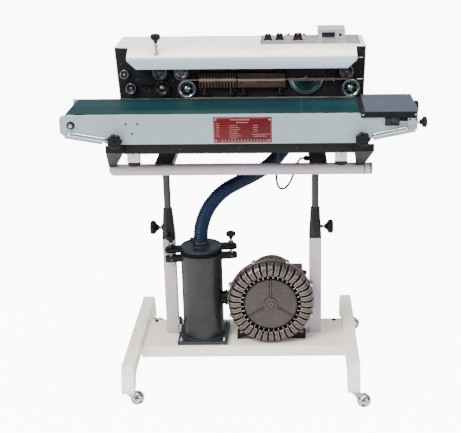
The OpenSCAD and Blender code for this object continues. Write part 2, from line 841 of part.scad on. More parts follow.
// A knurled knob on the screw that pulls the idler roller's axle
module tension_knob(y) {
    color("black") {
        x_cyl([403, 456], y, tension_z, axle_r);
        translate([454, y, tension_z]) rotate([0, 90, 0]) {
            cylinder(h = 6, r = 7);
            translate([0, 0, 6]) cylinder(h = 3, r1 = 7, r2 = 13);
            translate([0, 0, 9]) linear_extrude(8) {
                circle(13);
                for (i = [0:11]) rotate(i * 30) translate([12.6, 0]) circle(1.6);
            }
            translate([0, 0, 17]) cylinder(h = 3, r1 = 13, r2 = 9);
        }
    }
}

module tension_knob_front() { tension_knob(tension_front_y); }
module tension_knob_rear() { tension_knob(tension_rear_y); }

// A knob that clamps the conveyor to its slotted bracket
module star_clamp(at) {
    color("black") {
        translate([at[0], panel_y[0] - 1, at[1]]) rotate([90, 0, 0]) star_knob(star_knob_d, 26);
        y_cyl([panel_y[0] - 2, -181], at[0], at[1], stud_r);
    }
}

module star_knob_left() { star_clamp(star_left); }
module star_knob_right() { star_clamp(star_right); }

// ---- Sealing head ----

// Left and right edges of the head's outline at a height, in by a distance
function head_edge(side, z, in) =
    let (t = (z - base_z[1]) / (head_top - base_z[1]))
    side < 0 ? head_left[0] + t * (head_left[1] - head_left[0]) + in
             : head_right[0] + t * (head_right[1] - head_right[0]) - in;

function head_outline(z, in) = [
    [head_edge(-1, z[0], in), z[0]], [head_edge(1, z[0], in), z[0]],
    [head_edge(1, z[1], in), z[1]], [head_edge(-1, z[1], in), z[1]]
];

// Folded casing: two sides, a rear wall and a floor
module head_box() {
    color("ivory") difference() {
        extrude_y(head_y) polygon(head_outline([base_z[1], head_top - sheet], 0));
        extrude_y([head_y[0] - 1, head_y[1] - sheet])
            polygon(head_outline([base_z[1] + sheet, head_top + 1], sheet));
        for (i = [0:9]) block([-200 + 18 * i, -192 + 18 * i], [head_y[1] - 3, head_y[1] + 1], [800, 860]);
    }
}

// Shafts of the head, as [x, z]
shafts = [
    [upper_xs[0], upper_z], [upper_xs[1], upper_z], [lower_xs[0], lower_z], [lower_xs[1], lower_z],
    [emboss_upper[0], emboss_upper[1]], [emboss_lower[0], emboss_lower[1]],
    [exit_upper[0], exit_upper[1]], [exit_lower[0], exit_lower[1]], [disc[0], disc[1]]
];

// Black front plate with the bearing bores, the exit guide and the arm under the pressure screw
module mechanism_plate() {
    color("#202022") {
        difference() {
            extrude_y(plate_y) polygon(head_outline([base_z[1] + sheet, head_top - sheet], sheet + 0.1));
            for (s = shafts) y_cyl([plate_y[0] - 1, plate_y[1] + 1], s[0], s[1], wheel_shaft_r + run);
            for (z = [866, 925]) block([306, 320], [plate_y[0] - 1, plate_y[1] + 1], [z, z + 2]);
        }
        block([-290, -252], [-8, plate_y[0]], [857.5, 859.5]);
        block([pressure_at[0] - 6, pressure_at[0] + 6], [pressure_at[1] - 6, plate_y[0]], [916, 922]);
    }
}

// Folded top cover: the flat top, the slope and the chamfered front face
module hood() {
    inner = hood_front + sheet;
    color("ivory") difference() {
        union() {
            extrude_y(head_y) polygon(head_outline([head_top - sheet, head_top], 0));
            extrude_x(hood_x) polygon([
                [head_y[0], head_top], [hood_front, hood_z[1]], [hood_front, hood_z[0]], [inner, hood_z[0]],
                [inner, hood_z[1] - 1.2], [head_y[0], head_top - 2.3]
            ]);
            for (x = [[hood_x[0], hood_x[0] + sheet], [hood_x[1] - sheet, hood_x[1]]]) extrude_x(x)
                polygon([
                    [head_y[0], head_top - 1], [hood_front + 1, hood_z[1] - 1], [hood_front + 1, hood_z[0]],
                    [head_y[0] - 8, hood_z[0]], [head_y[0] - 0.5, hood_z[0] + 12],
                    [head_y[0], head_top - sheet]
                ]);
        }
        extrude_y([hood_front - 1, 0]) polygon([
            [hood_x[0] - 1, hood_z[0] - 1], [hood_x[0] + 26, hood_z[0] - 1], [hood_x[0] - 1, hood_z[0] + 24]
        ]);
        extrude_y([hood_front - 1, 0]) polygon([
            [hood_x[1] + 1, hood_z[0] - 1], [hood_x[1] - 26, hood_z[0] - 1], [hood_x[1] + 1, hood_z[0] + 24]
        ]);
        z_cyl([900, head_top + 1], pressure_at[0], pressure_at[1], axle_r + run);
        for (at = [power_at, heater_at, speed_at])
            z_cyl([head_top - 3, head_top + 1], at[0], at[1], axle_r + run);
    }
}

// Metal plate that carries the switches and the two lamps
module control_panel() {
    color("lightgray") difference() {
        block(panel_x, panel_plate_y, [head_top, panel_plate_top]);
        for (at = [power_at, heater_at, speed_at])
            z_cyl([head_top - 1, panel_plate_top + 1], at[0], at[1], axle_r + run);
    }
    color("red") for (at = lamp_at) z_cyl([panel_plate_top, panel_plate_top + 7], at[0], at[1], 5);
}

module counter_box() {
    color("silver") {
        block([201, 276], [84, 162], [panel_plate_top, panel_plate_top + 29]);
        block([212, 246], [81, 84], [panel_plate_top + 9, panel_plate_top + 21]);
        y_cyl([80, 84], 262, panel_plate_top + 15, 4);
    }
}

// A switch knob with a pointer, on a shaft through the panel
module switch_knob(at, r, h) {
    color("black") translate([at[0], at[1], panel_plate_top + 0.4]) {
        cylinder(h = 3, r = r);
        translate([0, 0, 3]) cylinder(h = h - 3, r1 = r - 2, r2 = r - 3.5);
        translate([-1.5, -r + 0.5, 3]) cube([3, r, h - 3]);
        translate([0, 0, -16]) cylinder(h = 17, r = axle_r);
    }
}

module power_switch() { switch_knob(power_at, 12, 17); }
module heater_switch() { switch_knob(heater_at, 12, 17); }
module speed_dial() { switch_knob(speed_at, 14, 18); }

// Screw with a hand knob that presses the embossing wheels together
module pressure_knob() {
    color("black") translate([pressure_at[0], pressure_at[1], 0]) {
        translate([0, 0, 922.5]) cylinder(h = 58, r = axle_r);
        translate([0, 0, 974]) star_knob(26, 24);
    }
}

// Heating blocks to the right and finned cooling blocks to the left, above and below the bands
module sealing_blocks() {
    fin_zone = cooling_x[1] - cooling_x[0];
    pitch = fin_zone / fin_count;
    rows = [[nip_z + 1, nip_z + 18, 1], [nip_z - 21, nip_z - 1, -1]];
    color("peru") for (row = rows) {
        fins_z = row[2] > 0 ? [row[0] + 5, row[1] + 1] : [row[0] - 1, row[1] - 5];
        block(heating_x, wheel_y, [row[0], row[1]]);
        difference() {
            block(cooling_x, wheel_y, [row[0], row[1]]);
            for (i = [0:fin_count - 1])
                block([cooling_x[0] + (i + 0.3) * pitch, cooling_x[0] + (i + 0.7) * pitch],
                                              [wheel_y[0] - 1, wheel_y[1] - 3], fins_z);
        }
        for (x = [cooling_x[0] + 15, cooling_x[1] - 15, heating_x[0] + 15, heating_x[1] - 15])
            y_cyl([wheel_y[1], plate_y[0]], x, (row[0] + row[1]) / 2, 4);
    }
}

// Two endless bands that carry the bag's mouth between the blocks
module sealing_bands() {
    color("sienna") {
        belt_loop(band_y, [upper_xs[0], upper_z], upper_r, [upper_xs[1], upper_z], upper_r, band_t);
        belt_loop(band_y, [lower_xs[0], lower_z], lower_r, [lower_xs[1], lower_z], lower_r, band_t);
    }
}

// A wheel with a dished face, a hub, and a shaft through the plate to its sprocket
module head_wheel(x, z, r, hub, sprocket) {
    difference() {
        y_cyl(wheel_y, x, z, r);
        difference() {
            y_cyl([wheel_y[0] - 1, wheel_y[0] + 3], x, z, r * 0.8);
            y_cyl([wheel_y[0] - 2, wheel_y[0] + 4], x, z, hub);
        }
    }
    y_cyl([wheel_y[1] - 1, 30], x, z, wheel_shaft_r);
    if (sprocket > 0) y_cyl([20, 24], x, z, sprocket);
}

module upper_band_wheel_left() { color("gray") head_wheel(upper_xs[0], upper_z, upper_r, 7, 14); }
module upper_band_wheel_right() { color("gray") head_wheel(upper_xs[1], upper_z, upper_r, 7, 0); }
module lower_band_wheel_left() { color("darkcyan") head_wheel(lower_xs[0], lower_z, lower_r, 8, 14); }
module lower_band_wheel_right() { color("darkcyan") head_wheel(lower_xs[1], lower_z, lower_r, 8, 0); }
module emboss_wheel_upper() {
    color("gray") head_wheel(emboss_upper[0], emboss_upper[1], emboss_upper[2], 6, 14);
}
module emboss_wheel_lower() {
    color("dimgray") head_wheel(emboss_lower[0], emboss_lower[1], emboss_lower[2], 8, 14);
}
module exit_pulley_upper() {
    color("silver") head_wheel(exit_upper[0], exit_upper[1], exit_upper[2], 5, 0);
}
module exit_pulley_lower() {
    color("silver") head_wheel(exit_lower[0], exit_lower[1], exit_lower[2], 5, 0);
}

// Large dished disc behind the bands, turned by the drive
module guide_disc() {
    color("darkslategray") {
        revolve_y(disc[0], disc[1]) polygon([
            [0, -3.5], [14, -3.5], [18, -1.5], [34, -1.5], [42, -4.4],
            [disc[2], -4.4], [disc[2], 0.5], [0, 1.4]
        ]);
        y_cyl([0, 30], disc[0], disc[1], wheel_shaft_r);
        y_cyl([20, 24], disc[0], disc[1], 14);
    }
}

// Motor and worm gearbox on the floor of the head
module gearmotor() {
    floor = base_z[1] + sheet;
    color("darkgray") {
        block([-190, -120], [70, 135], [floor, floor + 68]);
        x_cyl([-120, 10], 102, floor + 36, 34);
        y_cyl([40, 70], -155, floor + 40, 8);
        block([-90, -20], [80, 124], [floor, floor + 8]);
    }
}

// Sensor lead looped below the rails
module power_cable() {
    color("black") swept_tube(cable_route, 3, 8);
}

base_tray();
feet();
columns();
pole_sleeves();
canister_body();
canister_lid();
drain_cock();
hose();
blower_housing();
blower_cover();
blower_motor();
impeller();
sleeve_knob_left();
sleeve_knob_right();
lid_clamp_left();
lid_clamp_right();
caster_hood_fl();
caster_hood_fr();
caster_hood_rl();
caster_hood_rr();
caster_wheel_fl();
caster_wheel_fr();
caster_wheel_rl();
caster_wheel_rr();
rails();
lift_arms();
machine_base();
conveyor_brackets();
head_box();
mechanism_plate();
hood();
control_panel();
counter_box();
sealing_blocks();
sealing_bands();
gearmotor();
upper_band_wheel_left();
upper_band_wheel_right();
lower_band_wheel_left();
lower_band_wheel_right();
emboss_wheel_upper();
emboss_wheel_lower();
exit_pulley_upper();
exit_pulley_lower();
guide_disc();
pressure_knob();
power_switch();
heater_switch();
speed_dial();
front_panel();
conveyor_frame();
conveyor_belt();
drive_roller();
idler_roller();
infeed_table();
tension_knob_front();
tension_knob_rear();
star_knob_left();
star_knob_right();
power_cable();
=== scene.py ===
"""The look of a continuous band sealer on its wheeled stand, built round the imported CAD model.

The axes are the CAD frame's: +Z up, +X towards the infeed, -Y towards the operator. Shapes and places are in
millimetres, and piece() brings them to metres. The camera, the lights and the materials are in metres.
"""

import json
import math

import bmesh
import bpy
from mathutils import Matrix, Vector

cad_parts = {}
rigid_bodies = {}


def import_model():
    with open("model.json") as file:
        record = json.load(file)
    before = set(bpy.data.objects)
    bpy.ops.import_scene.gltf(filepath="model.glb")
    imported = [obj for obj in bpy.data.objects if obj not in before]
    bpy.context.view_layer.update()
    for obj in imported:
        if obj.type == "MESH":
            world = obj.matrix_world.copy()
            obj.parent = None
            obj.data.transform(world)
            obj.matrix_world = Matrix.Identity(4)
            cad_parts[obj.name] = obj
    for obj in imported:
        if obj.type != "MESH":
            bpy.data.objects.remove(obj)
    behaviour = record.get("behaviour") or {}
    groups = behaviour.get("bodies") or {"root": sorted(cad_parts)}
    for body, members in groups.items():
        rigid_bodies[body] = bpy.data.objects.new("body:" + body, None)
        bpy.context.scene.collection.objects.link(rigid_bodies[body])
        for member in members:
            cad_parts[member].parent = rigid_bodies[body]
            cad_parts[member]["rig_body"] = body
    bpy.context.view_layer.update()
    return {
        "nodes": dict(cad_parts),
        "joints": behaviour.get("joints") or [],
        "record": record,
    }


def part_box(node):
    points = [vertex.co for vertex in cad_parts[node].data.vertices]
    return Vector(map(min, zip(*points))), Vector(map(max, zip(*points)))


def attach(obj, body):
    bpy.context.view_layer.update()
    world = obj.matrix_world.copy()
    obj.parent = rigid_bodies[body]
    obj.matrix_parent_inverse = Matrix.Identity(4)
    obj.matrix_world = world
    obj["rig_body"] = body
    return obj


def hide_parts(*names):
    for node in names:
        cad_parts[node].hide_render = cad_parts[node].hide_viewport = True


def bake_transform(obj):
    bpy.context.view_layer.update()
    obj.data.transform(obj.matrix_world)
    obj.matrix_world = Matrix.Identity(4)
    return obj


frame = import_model()

MM = 0.001
NODES = frame["nodes"]
JOINTS = {j["name"]: j for j in frame["joints"]}
RECORD = frame["record"]
SLOT_OF = {s["node"]: s["material_slot"] for s in RECORD["subparts"]}
BODY_OF = {n: body for body, nodes in RECORD["behaviour"]["bodies"].items() for n in nodes}
BOX = {n: [Vector(corner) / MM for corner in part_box(n)] for n in NODES}
HINGE_OF = {j["child"]: Vector(j["pos_m"]) / MM for j in JOINTS.values() if j["type"] == "hinge"}
CLAMPS = ("sleeve_clamp_left", "sleeve_clamp_right")
UP, DOWN = (0, 0, 1), (0, 0, -1)
FRONT, REAR = (0, -1, 0), (0, 1, 0)
RIGHT, LEFT = (1, 0, 0), (-1, 0, 0)
MATERIALS = {}
scene = bpy.context.scene


# ---- Camera ----

def make_camera():
    """The picture's own view: level with the conveyor's centre, looking along +Y and down."""
    data = bpy.data.cameras.new("camera")
    data.sensor_width = 36
    data.lens = 81.23
    data.shift_x = -0.1287
    data.shift_y = -0.0048
    camera = bpy.data.objects.new("camera", data)
    scene.collection.objects.link(camera)
    pitch = math.radians(90 - 19.22)
    roll = math.radians(-0.44)
    turn = Matrix.Rotation(pitch, 4, "X") @ Matrix.Rotation(roll, 4, "Z")
    camera.matrix_world = Matrix.Translation((0.11875, -2.7988, 1.4536)) @ turn
    scene.camera = camera


# ---- Materials ----

class Shader:
    """A node tree round one Principled BSDF, with the few patterns that the finishes share."""

    def __init__(self, name):
        self.material = MATERIALS[name] = bpy.data.materials.new(name)
        self.material.use_nodes = True
        self.tree = self.material.node_tree
        self.bsdf = self.tree.nodes["Principled BSDF"]
        self.coords = self.tree.nodes.new("ShaderNodeTexCoord")

    def node(self, kind, **values):
        made = self.tree.nodes.new(kind)
        for name, value in values.items():
            setattr(made, name, value)
        return made

    def link(self, a, b):
        self.tree.links.new(a, b)

    def place(self, scale, stretch=(1, 1, 1)):
        """Object coordinates, scaled to a pattern's own size."""
        mapping = self.node("ShaderNodeMapping")
        mapping.inputs["Scale"].default_value = [scale * s for s in stretch]
        self.link(self.coords.outputs["Object"], mapping.inputs["Vector"])
        return mapping.outputs["Vector"]

    def noise(self, scale, detail=4.0, stretch=(1, 1, 1), rough=0.55):
        made = self.node("ShaderNodeTexNoise")
        made.inputs["Scale"].default_value = 1
        made.inputs["Detail"].default_value = detail
        made.inputs["Roughness"].default_value = rough
        self.link(self.place(scale, stretch), made.inputs["Vector"])
        return made.outputs["Fac"]

    def cells(self, scale):
        made = self.node("ShaderNodeTexVoronoi", feature="SMOOTH_F1")
        made.inputs["Scale"].default_value = 1
        self.link(self.place(scale), made.inputs["Vector"])
        return made.outputs["Distance"]

    def band(self, fac, low, high, to=(0.0, 1.0)):
        """Remaps a pattern from the range low to high."""
        made = self.node("ShaderNodeMapRange")
        for name, value in zip(("From Min", "From Max", "To Min", "To Max"), (low, high, *to)):
            made.inputs[name].default_value = value
        self.link(fac, made.inputs["Value"])
        return made.outputs["Result"]

    def put(self, value, socket):
        """Gives a socket a number, a colour or another socket's value."""
        if isinstance(value, tuple):
            socket.default_value = (*value, 1)
        elif isinstance(value, (int, float)):
            socket.default_value = value
        else:
            self.link(value, socket)

    def mix(self, fac, a, b):
        """Mixes two colours, each a triple or a socket."""
        made = self.node("ShaderNodeMix", data_type="RGBA")
        for name, value in (("Factor", fac), ("A", a), ("B", b)):
            self.put(value, made.inputs[name])
        return made.outputs["Result"]

    def bump(self, height, distance, strength):
        made = self.node("ShaderNodeBump")
        made.inputs["Distance"].default_value = distance
        made.inputs["Strength"].default_value = strength
        self.link(height, made.inputs["Height"])
        return made.outputs["Normal"]

    def edges(self, radius):
        """One on the rounded and sharp edges, nought on the flats."""
        soft = self.node("ShaderNodeBevel", samples=4)
        soft.inputs["Radius"].default_value = radius
        flat = self.node("ShaderNodeNewGeometry")
        dot = self.node("ShaderNodeVectorMath", operation="DOT_PRODUCT")
        self.link(soft.outputs["Normal"], dot.inputs[0])
        self.link(flat.outputs["Normal"], dot.inputs[1])
        return self.band(dot.outputs["Value"], 0.985, 0.90)

    def shade_in_gaps(self, distance):
        """Nought in deep gaps, one in the open: the mask for shade painted into gaps."""
        made = self.node("ShaderNodeAmbientOcclusion", samples=6)
        made.inputs["Distance"].default_value = distance
        return made.outputs["AO"]

    def finish(self, color, rough, metal=0.0, normal=None, **values):
        """Sets the Principled BSDF's inputs; the further ones are named with _ for each space."""
        for name, value in (("Base Color", color), ("Roughness", rough), ("Metallic", metal)):
            self.put(value, self.bsdf.inputs[name])
        if normal is not None:
            self.link(normal, self.bsdf.inputs["Normal"])
        for name, value in values.items():
            self.bsdf.inputs[name.replace("_", " ")].default_value = value


def tint(color, share):
    """A colour made darker by a share below one, or lighter by a share above one."""
    return tuple(min(1.0, c * share) for c in color)


def painted(name, color, rough=0.42, peel=0.00012, wear=(0.30, 0.29, 0.28), dust=0.10, shine=0.5):
    """Powder coat: orange peel, faint cloudy dirt and a little rubbed metal along the edges."""
    s = Shader(name)
    clouds = s.band(s.noise(9, 5), 0.35, 0.75)
    base = s.mix(clouds, color, tint(color, 1 - dust))
    specks = s.band(s.noise(420, 2), 0.66, 0.74)
    base = s.mix(s.mix(specks, (0, 0, 0), (0.4, 0.4, 0.4)), base, tint(color, 0.8))
    rubbed = s.node("ShaderNodeMath", operation="MULTIPLY")
    s.link(s.edges(0.0011), rubbed.inputs[0])
    s.link(s.band(s.noise(60, 6, rough=0.7), 0.50, 0.62, (0.0, 0.35)), rubbed.inputs[1])
    base = s.mix(rubbed.outputs["Value"], base, wear)
    gloss = s.band(s.noise(30, 3), 0.3, 0.7, (rough - 0.06, rough + 0.08))
    normal = s.bump(s.noise(520, 2), peel, 0.6)
    s.finish(base, gloss, normal=normal, Specular_IOR_Level=shine)


def brushed_paint(name, color):
    """Blue-grey coat over brushed sheet: long faint streaks, cloudy from handling, and a painted highlight
    along every edge.
    """
    s = Shader(name)
    streaks = s.noise(26, 5, (0.05, 1, 1))
    base = s.mix(s.band(streaks, 0.35, 0.7), color, tint(color, 1.14))
    base = s.mix(s.band(s.noise(4, 4, (0.6, 1, 1.6)), 0.4, 0.75, (0, 0.5)), base, tint(color, 0.84))
    # Painted highlight: every rounded edge half as light again.
    base = s.mix(s.edges(0.0016), base, tint(color, 1.5))
    normal = s.bump(s.noise(600, 2, (0.05, 1, 1)), 0.00005, 0.5)
    s.finish(base, s.band(streaks, 0.3, 0.7, (0.28, 0.42)), 0.15, normal)


def crackle(name, color, light):
    """Crackle paint: small raised islands with glossy tops."""
    s = Shader(name)
    islands = s.cells(420)
    base = s.mix(s.band(islands, 0.25, 0.6), color, light)
    normal = s.bump(islands, 0.0006, 0.9)
    s.finish(base, s.band(s.noise(80), 0.3, 0.7, (0.45, 0.65)), normal=normal, Specular_IOR_Level=0.14)


def hammered(name, color, light):
    """Hammer finish: shallow pools in a metallic coat."""
    s = Shader(name)
    pools = s.cells(330)
    base = s.mix(s.band(pools, 0.1, 0.6), color, light)
    base = s.mix(s.band(s.noise(14, 6), 0.45, 0.8, (0, 0.5)), base, tint(color, 0.6))
    normal = s.bump(pools, 0.0005, 0.35)
    s.finish(base, s.band(s.noise(40), 0.3, 0.7, (0.28, 0.44)), 0.2, normal, Specular_IOR_Level=0.4)


def plastic(name, color, rough=0.45, grain=0.00015, shine=0.5):
    """Moulded plastic: fine spark-eroded grain, faint finger marks and a painted highlight along the edges.
    """
    s = Shader(name)
    base = s.mix(s.band(s.noise(25, 4), 0.35, 0.7), color, tuple(c * 1.3 + 0.003 for c in color))
    # Painted highlight: a lighter colour along every edge.
    base = s.mix(s.edges(0.0012), base, tuple(min(1, c * 1.5 + 0.012) for c in color))
    gloss = s.band(s.noise(70, 4), 0.35, 0.7, (rough - 0.1, rough + 0.1))
    s.finish(base, gloss, normal=s.bump(s.noise(1400, 2), grain, 0.5), Specular_IOR_Level=shine)


def metal(name, color, rough, lines=(1, 1, 1), line_scale=900, line_height=0.00004, stain=0.18):
    """Bare metal, with tool lines along the axis whose stretch is smallest."""
    s = Shader(name)
    base = s.mix(s.band(s.noise(22, 6), 0.4, 0.75), color, tint(color, 1 - stain))
    grooves = s.noise(line_scale, 3, lines)
    shine = s.band(grooves, 0.3, 0.7, (max(0.04, rough - 0.08), rough + 0.1))
    s.finish(base, shine, 1.0, s.bump(grooves, line_height, 0.5))


def cast(name, color, light, dark):
    """Cast alloy under a thin bronze-grey coat: gritty, with painted highlights on the raised edges and
    painted shade in the gaps.
    """
    s = Shader(name)
    base = s.mix(s.band(s.noise(18, 6), 0.35, 0.7), color, tint(color, 0.86))
    # Painted highlight: the light colour along every raised edge.
    base = s.mix(s.edges(0.0016), base, light)
    # Painted shade: the dark colour wherever the occlusion mask finds a gap.
    base = s.mix(s.band(s.shade_in_gaps(0.022), 0.75, 0.25), base, dark)
    normal = s.bump(s.noise(420, 4), 0.0004, 0.7)
    s.finish(base, s.band(s.noise(60, 5), 0.3, 0.7, (0.30, 0.46)), 0.7, normal)


def belt_rubber(name, color, light):
    """Smooth PVC over cloth: a fine weave, long rub marks and a bloom."""
    s = Shader(name)
    streaks = s.noise(30, 5, (0.08, 1, 1))
    base = s.mix(s.band(streaks, 0.45, 0.75), color, light)
    base = s.mix(s.band(s.noise(7, 5), 0.5, 0.8, (0, 0.5)), base, tint(color, 0.7))
    weave = s.node("ShaderNodeMath", operation="ADD")
    for socket, stretch in ((weave.inputs[0], (1, 0.1, 0.1)), (weave.inputs[1], (0.1, 1, 0.1))):
        wave = s.node("ShaderNodeTexWave")
        s.link(s.place(260, stretch), wave.inputs["Vector"])
        s.link(wave.outputs["Fac"], socket)
    normal = s.bump(weave.outputs["Value"], 0.00008, 0.4)
    s.finish(base, s.band(streaks, 0.3, 0.7, (0.36, 0.52)), normal=normal, Specular_IOR_Level=0.22)


def band_cloth(name, color, light):
    """Coated glass cloth: a fine square weave, browned by heat."""
    s = Shader(name)
    base = s.mix(s.band(s.noise(35, 5), 0.35, 0.7), color, light)
    s.finish(base, 0.42, normal=s.bump(s.cells(700), 0.0002, 0.4))


def glowing(name, color, strength):
    """A coloured lens, lit a little from inside."""
    s = Shader(name)
    s.bsdf.inputs["Emission Color"].default_value = (*color, 1)
    base = s.mix(s.band(s.noise(300), 0.3, 0.7), color, tint(color, 0.7))
    s.finish(base, 0.18, Emission_Strength=strength, Coat_Weight=0.6)


def make_materials():
    """Every finish: the record's own slots, then those of small parts and of single faces."""
    painted("stand_paint", (0.95, 0.88, 0.76), wear=(0.50, 0.44, 0.38))
    painted("rail_paint", (0.46, 0.39, 0.45), wear=(0.34, 0.30, 0.31))
    painted("sleeve_paint", (0.007, 0.006, 0.008), rough=0.30, wear=(0.2, 0.19, 0.19), shine=0.2)
    hammered("canister_paint", (0.0085, 0.010, 0.0115), (0.019, 0.0215, 0.023))
    hammered("lid_paint", (0.011, 0.015, 0.021), (0.024, 0.031, 0.041))
    plastic("hose_plastic", (0.0008, 0.008, 0.028), rough=0.4, shine=0.16)
    cast("cast_alloy", (0.105, 0.080, 0.074), (0.85, 0.72, 0.68), (0.004, 0.0035, 0.003))
    cast("motor_alloy", (0.10, 0.083, 0.080), (0.38, 0.33, 0.31), (0.006, 0.005, 0.005))
    metal("rotor_alloy", (0.62, 0.62, 0.63), 0.3)
    plastic("black_plastic", (0.0016, 0.0016, 0.002), rough=0.36, shine=0.16)
    painted("black_steel", (0.0035, 0.004, 0.005), rough=0.44, wear=(0.14, 0.14, 0.14), dust=0.12, shine=0.16)
    metal("chrome", (0.50, 0.50, 0.52), 0.07, line_height=0.00001, stain=0.12)
    metal("caster_tread", (0.30, 0.30, 0.32), 0.18)
    painted("arm_paint", (0.012, 0.014, 0.020), rough=0.42, wear=(0.14, 0.14, 0.16), dust=0.4, shine=0.3)
    painted("base_paint", (0.009, 0.0085, 0.0105), rough=0.46, wear=(0.15, 0.14, 0.14), dust=0.2, shine=0.18)
    painted("cream_paint", (0.86, 0.84, 0.76), rough=0.38, wear=(0.5, 0.47, 0.42))
    crackle("plate_black", (0.0025, 0.0028, 0.0034), (0.010, 0.010, 0.012))
    metal("panel_alloy", (0.80, 0.80, 0.78), 0.38, (0.03, 1, 1))
    plastic("counter_case", (0.30, 0.29, 0.36), rough=0.42)
    metal("block_copper", (0.20, 0.125, 0.095), 0.36, (0.03, 1, 1), stain=0.5)
    band_cloth("band_cloth", (0.10, 0.055, 0.04), (0.20, 0.13, 0.10))
    painted("motor_paint", (0.17, 0.18, 0.20))
    metal("wheel_grey", (0.11, 0.115, 0.13), 0.3)
    plastic("wheel_teal", (0.004, 0.016, 0.019), rough=0.3)
    brushed_paint("panel_grey", (0.25, 0.31, 0.345))
    metal("frame_steel", (0.52, 0.53, 0.53), 0.33, (0.03, 1, 1))
    belt_rubber("belt_green", (0.0008, 0.017, 0.021), (0.0030, 0.029, 0.032))
    metal("roller_steel", (0.55, 0.56, 0.57), 0.28, (1, 0.03, 1))
    painted("table_slate", (0.040, 0.050, 0.075), rough=0.34, dust=0.2, shine=0.35)
    plastic("cable_rubber", (0.004, 0.004, 0.004), rough=0.5, shine=0.3)
    metal("bolt_zinc", (0.52, 0.52, 0.53), 0.26)
    metal("bolt_dark", (0.055, 0.055, 0.06), 0.38)
    plastic("rubber", (0.009, 0.009, 0.010), rough=0.62, shine=0.25)
    painted("plate_red", (0.085, 0.003, 0.006), rough=0.32, peel=0.00003, dust=0.25, shine=0.25)
    plastic("plate_print", (0.24, 0.11, 0.10), rough=0.4)
    plastic("white_mark", (0.75, 0.75, 0.73), rough=0.5)
    plastic("display", (0.004, 0.004, 0.006), rough=0.12, shine=0.3)
    glowing("lamp_red", (0.42, 0.012, 0.012), 0.05)
    metal("wheel_rim", (0.36, 0.38, 0.40), 0.2)
    # Bright brass for the painted highlight strips on the sealing blocks.
    metal("brass_painted_highlight", (0.80, 0.60, 0.42), 0.2, (0.03, 1, 1))
    # Near black for painted shade, laid into gaps, pockets, slots, holes and seams where shade falls.
    plastic("gap_painted_shade", (0.0016, 0.0014, 0.0013), rough=0.7, shine=0.06)
    plastic("seam_green", (0.006, 0.046, 0.046), rough=0.5)
    metal("wheel_dark", (0.045, 0.045, 0.05), 0.34)
    metal("disc_teal", (0.05, 0.095, 0.105), 0.24)
    metal("pole_chrome", (0.052, 0.045, 0.047), 0.12, line_height=0.00001)
    # A bluish, darker copy of the hood's cream: painted shade for its front face.
    painted("hood_face_painted_shade", (0.36, 0.43, 0.50), rough=0.36, dust=0.06)
    metal("hem_steel", (0.50, 0.54, 0.57), 0.2, (0.03, 1, 1))
    cast("disc_cast", (0.050, 0.041, 0.040), (0.26, 0.22, 0.21), (0.006, 0.005, 0.005))
    # A darker copy of the block copper: painted shade.
    metal("block_painted_shade", (0.06, 0.040, 0.032), 0.42, (0.03, 1, 1), stain=0.5)


# ---- Building blocks, all in millimetres ----

def moved(shape, place):
    """A shape moved by a matrix or to a point."""
    matrix = place if isinstance(place, Matrix) else Matrix.Translation(place)
    bmesh.ops.transform(shape, matrix=matrix, verts=shape.verts)
    return shape


def joined(*shapes):
    """Several shapes as one."""
    whole = bmesh.new()
    for shape in shapes:
        mesh = bpy.data.meshes.new("part")
        shape.to_mesh(mesh)
        shape.free()
        whole.from_mesh(mesh)
        bpy.data.meshes.remove(mesh)
    return whole


def copies(shape, places):
    """A shape at several places, each a matrix or a point."""
    whole = joined(*(moved(shape.copy(), place) for place in places))
    shape.free()
    return whole


def piece(name, shape, body, material, places=None, sharp=35, stands_for=None):
    """Makes an object from a shape, lets it ride on a body, and hides the CAD node that it stands for."""
    bm = shape if places is None else copies(shape, places)
    bmesh.ops.scale(bm, vec=(MM, MM, MM), verts=bm.verts)
    bmesh.ops.dissolve_degenerate(bm, dist=0.002 * MM, edges=bm.edges)
    bmesh.ops.recalc_face_normals(bm, faces=bm.faces)
    mesh = bpy.data.meshes.new(name)
    bm.to_mesh(mesh)
    bm.free()
    mesh.polygons.foreach_set("use_smooth", [True] * len(mesh.polygons))
    mesh.set_sharp_from_angle(angle=math.radians(sharp))
    mesh.materials.append(MATERIALS[material])
    made = bpy.data.objects.new(name, mesh)
    scene.collection.objects.link(made)
    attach(made, body)
    if stands_for:
        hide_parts(stands_for)
    return made


def towards(axis):
    """The rotation that turns +Z to an axis."""
    return Vector(axis).to_track_quat("Z", "Y").to_matrix().to_4x4()


def spin(degrees):
    """A turn about Z."""
    return Matrix.Rotation(math.radians(degrees), 4, "Z")


def at(point, axis=UP, turn=0.0):
    """The matrix that stands a shape made on +Z at a point, along an axis."""
    return Matrix.Translation(point) @ towards(axis) @ spin(turn)


def grid(xs, ys, zs, axis=UP):
    """A place along an axis at each crossing of some coordinates."""
    return [at((x, y, z), axis) for x in xs for y in ys for z in zs]


def circle(centre, r, count):
    """A closed path of count steps round a vertical axis."""
    turns = [2 * math.pi * k / count for k in range(count + 1)]
    return [centre + r * Vector((math.cos(a), math.sin(a), 0)) for a in turns]


def skin(rings, loop=False):
    """A closed surface through rings of points; one point alone is a tip, and a loop ends where it starts."""
    bm = bmesh.new()
    rings = [[bm.verts.new(point) for point in ring] for ring in rings]
    pairs = list(zip(rings, rings[1:]))
    if loop:
        pairs.append((rings[-1], rings[0]))
    else:
        for end in (rings[0], rings[-1]):
            if len(end) > 1:
                bm.faces.new(end)
    for near, far in pairs:
        count = max(len(near), len(far))
        for k in range(count):
            n = (k + 1) % count
            corners = (near[k % len(near)], near[n % len(near)], far[n % len(far)], far[k % len(far)])
            bm.faces.new(list(dict.fromkeys(corners)))
    return bm


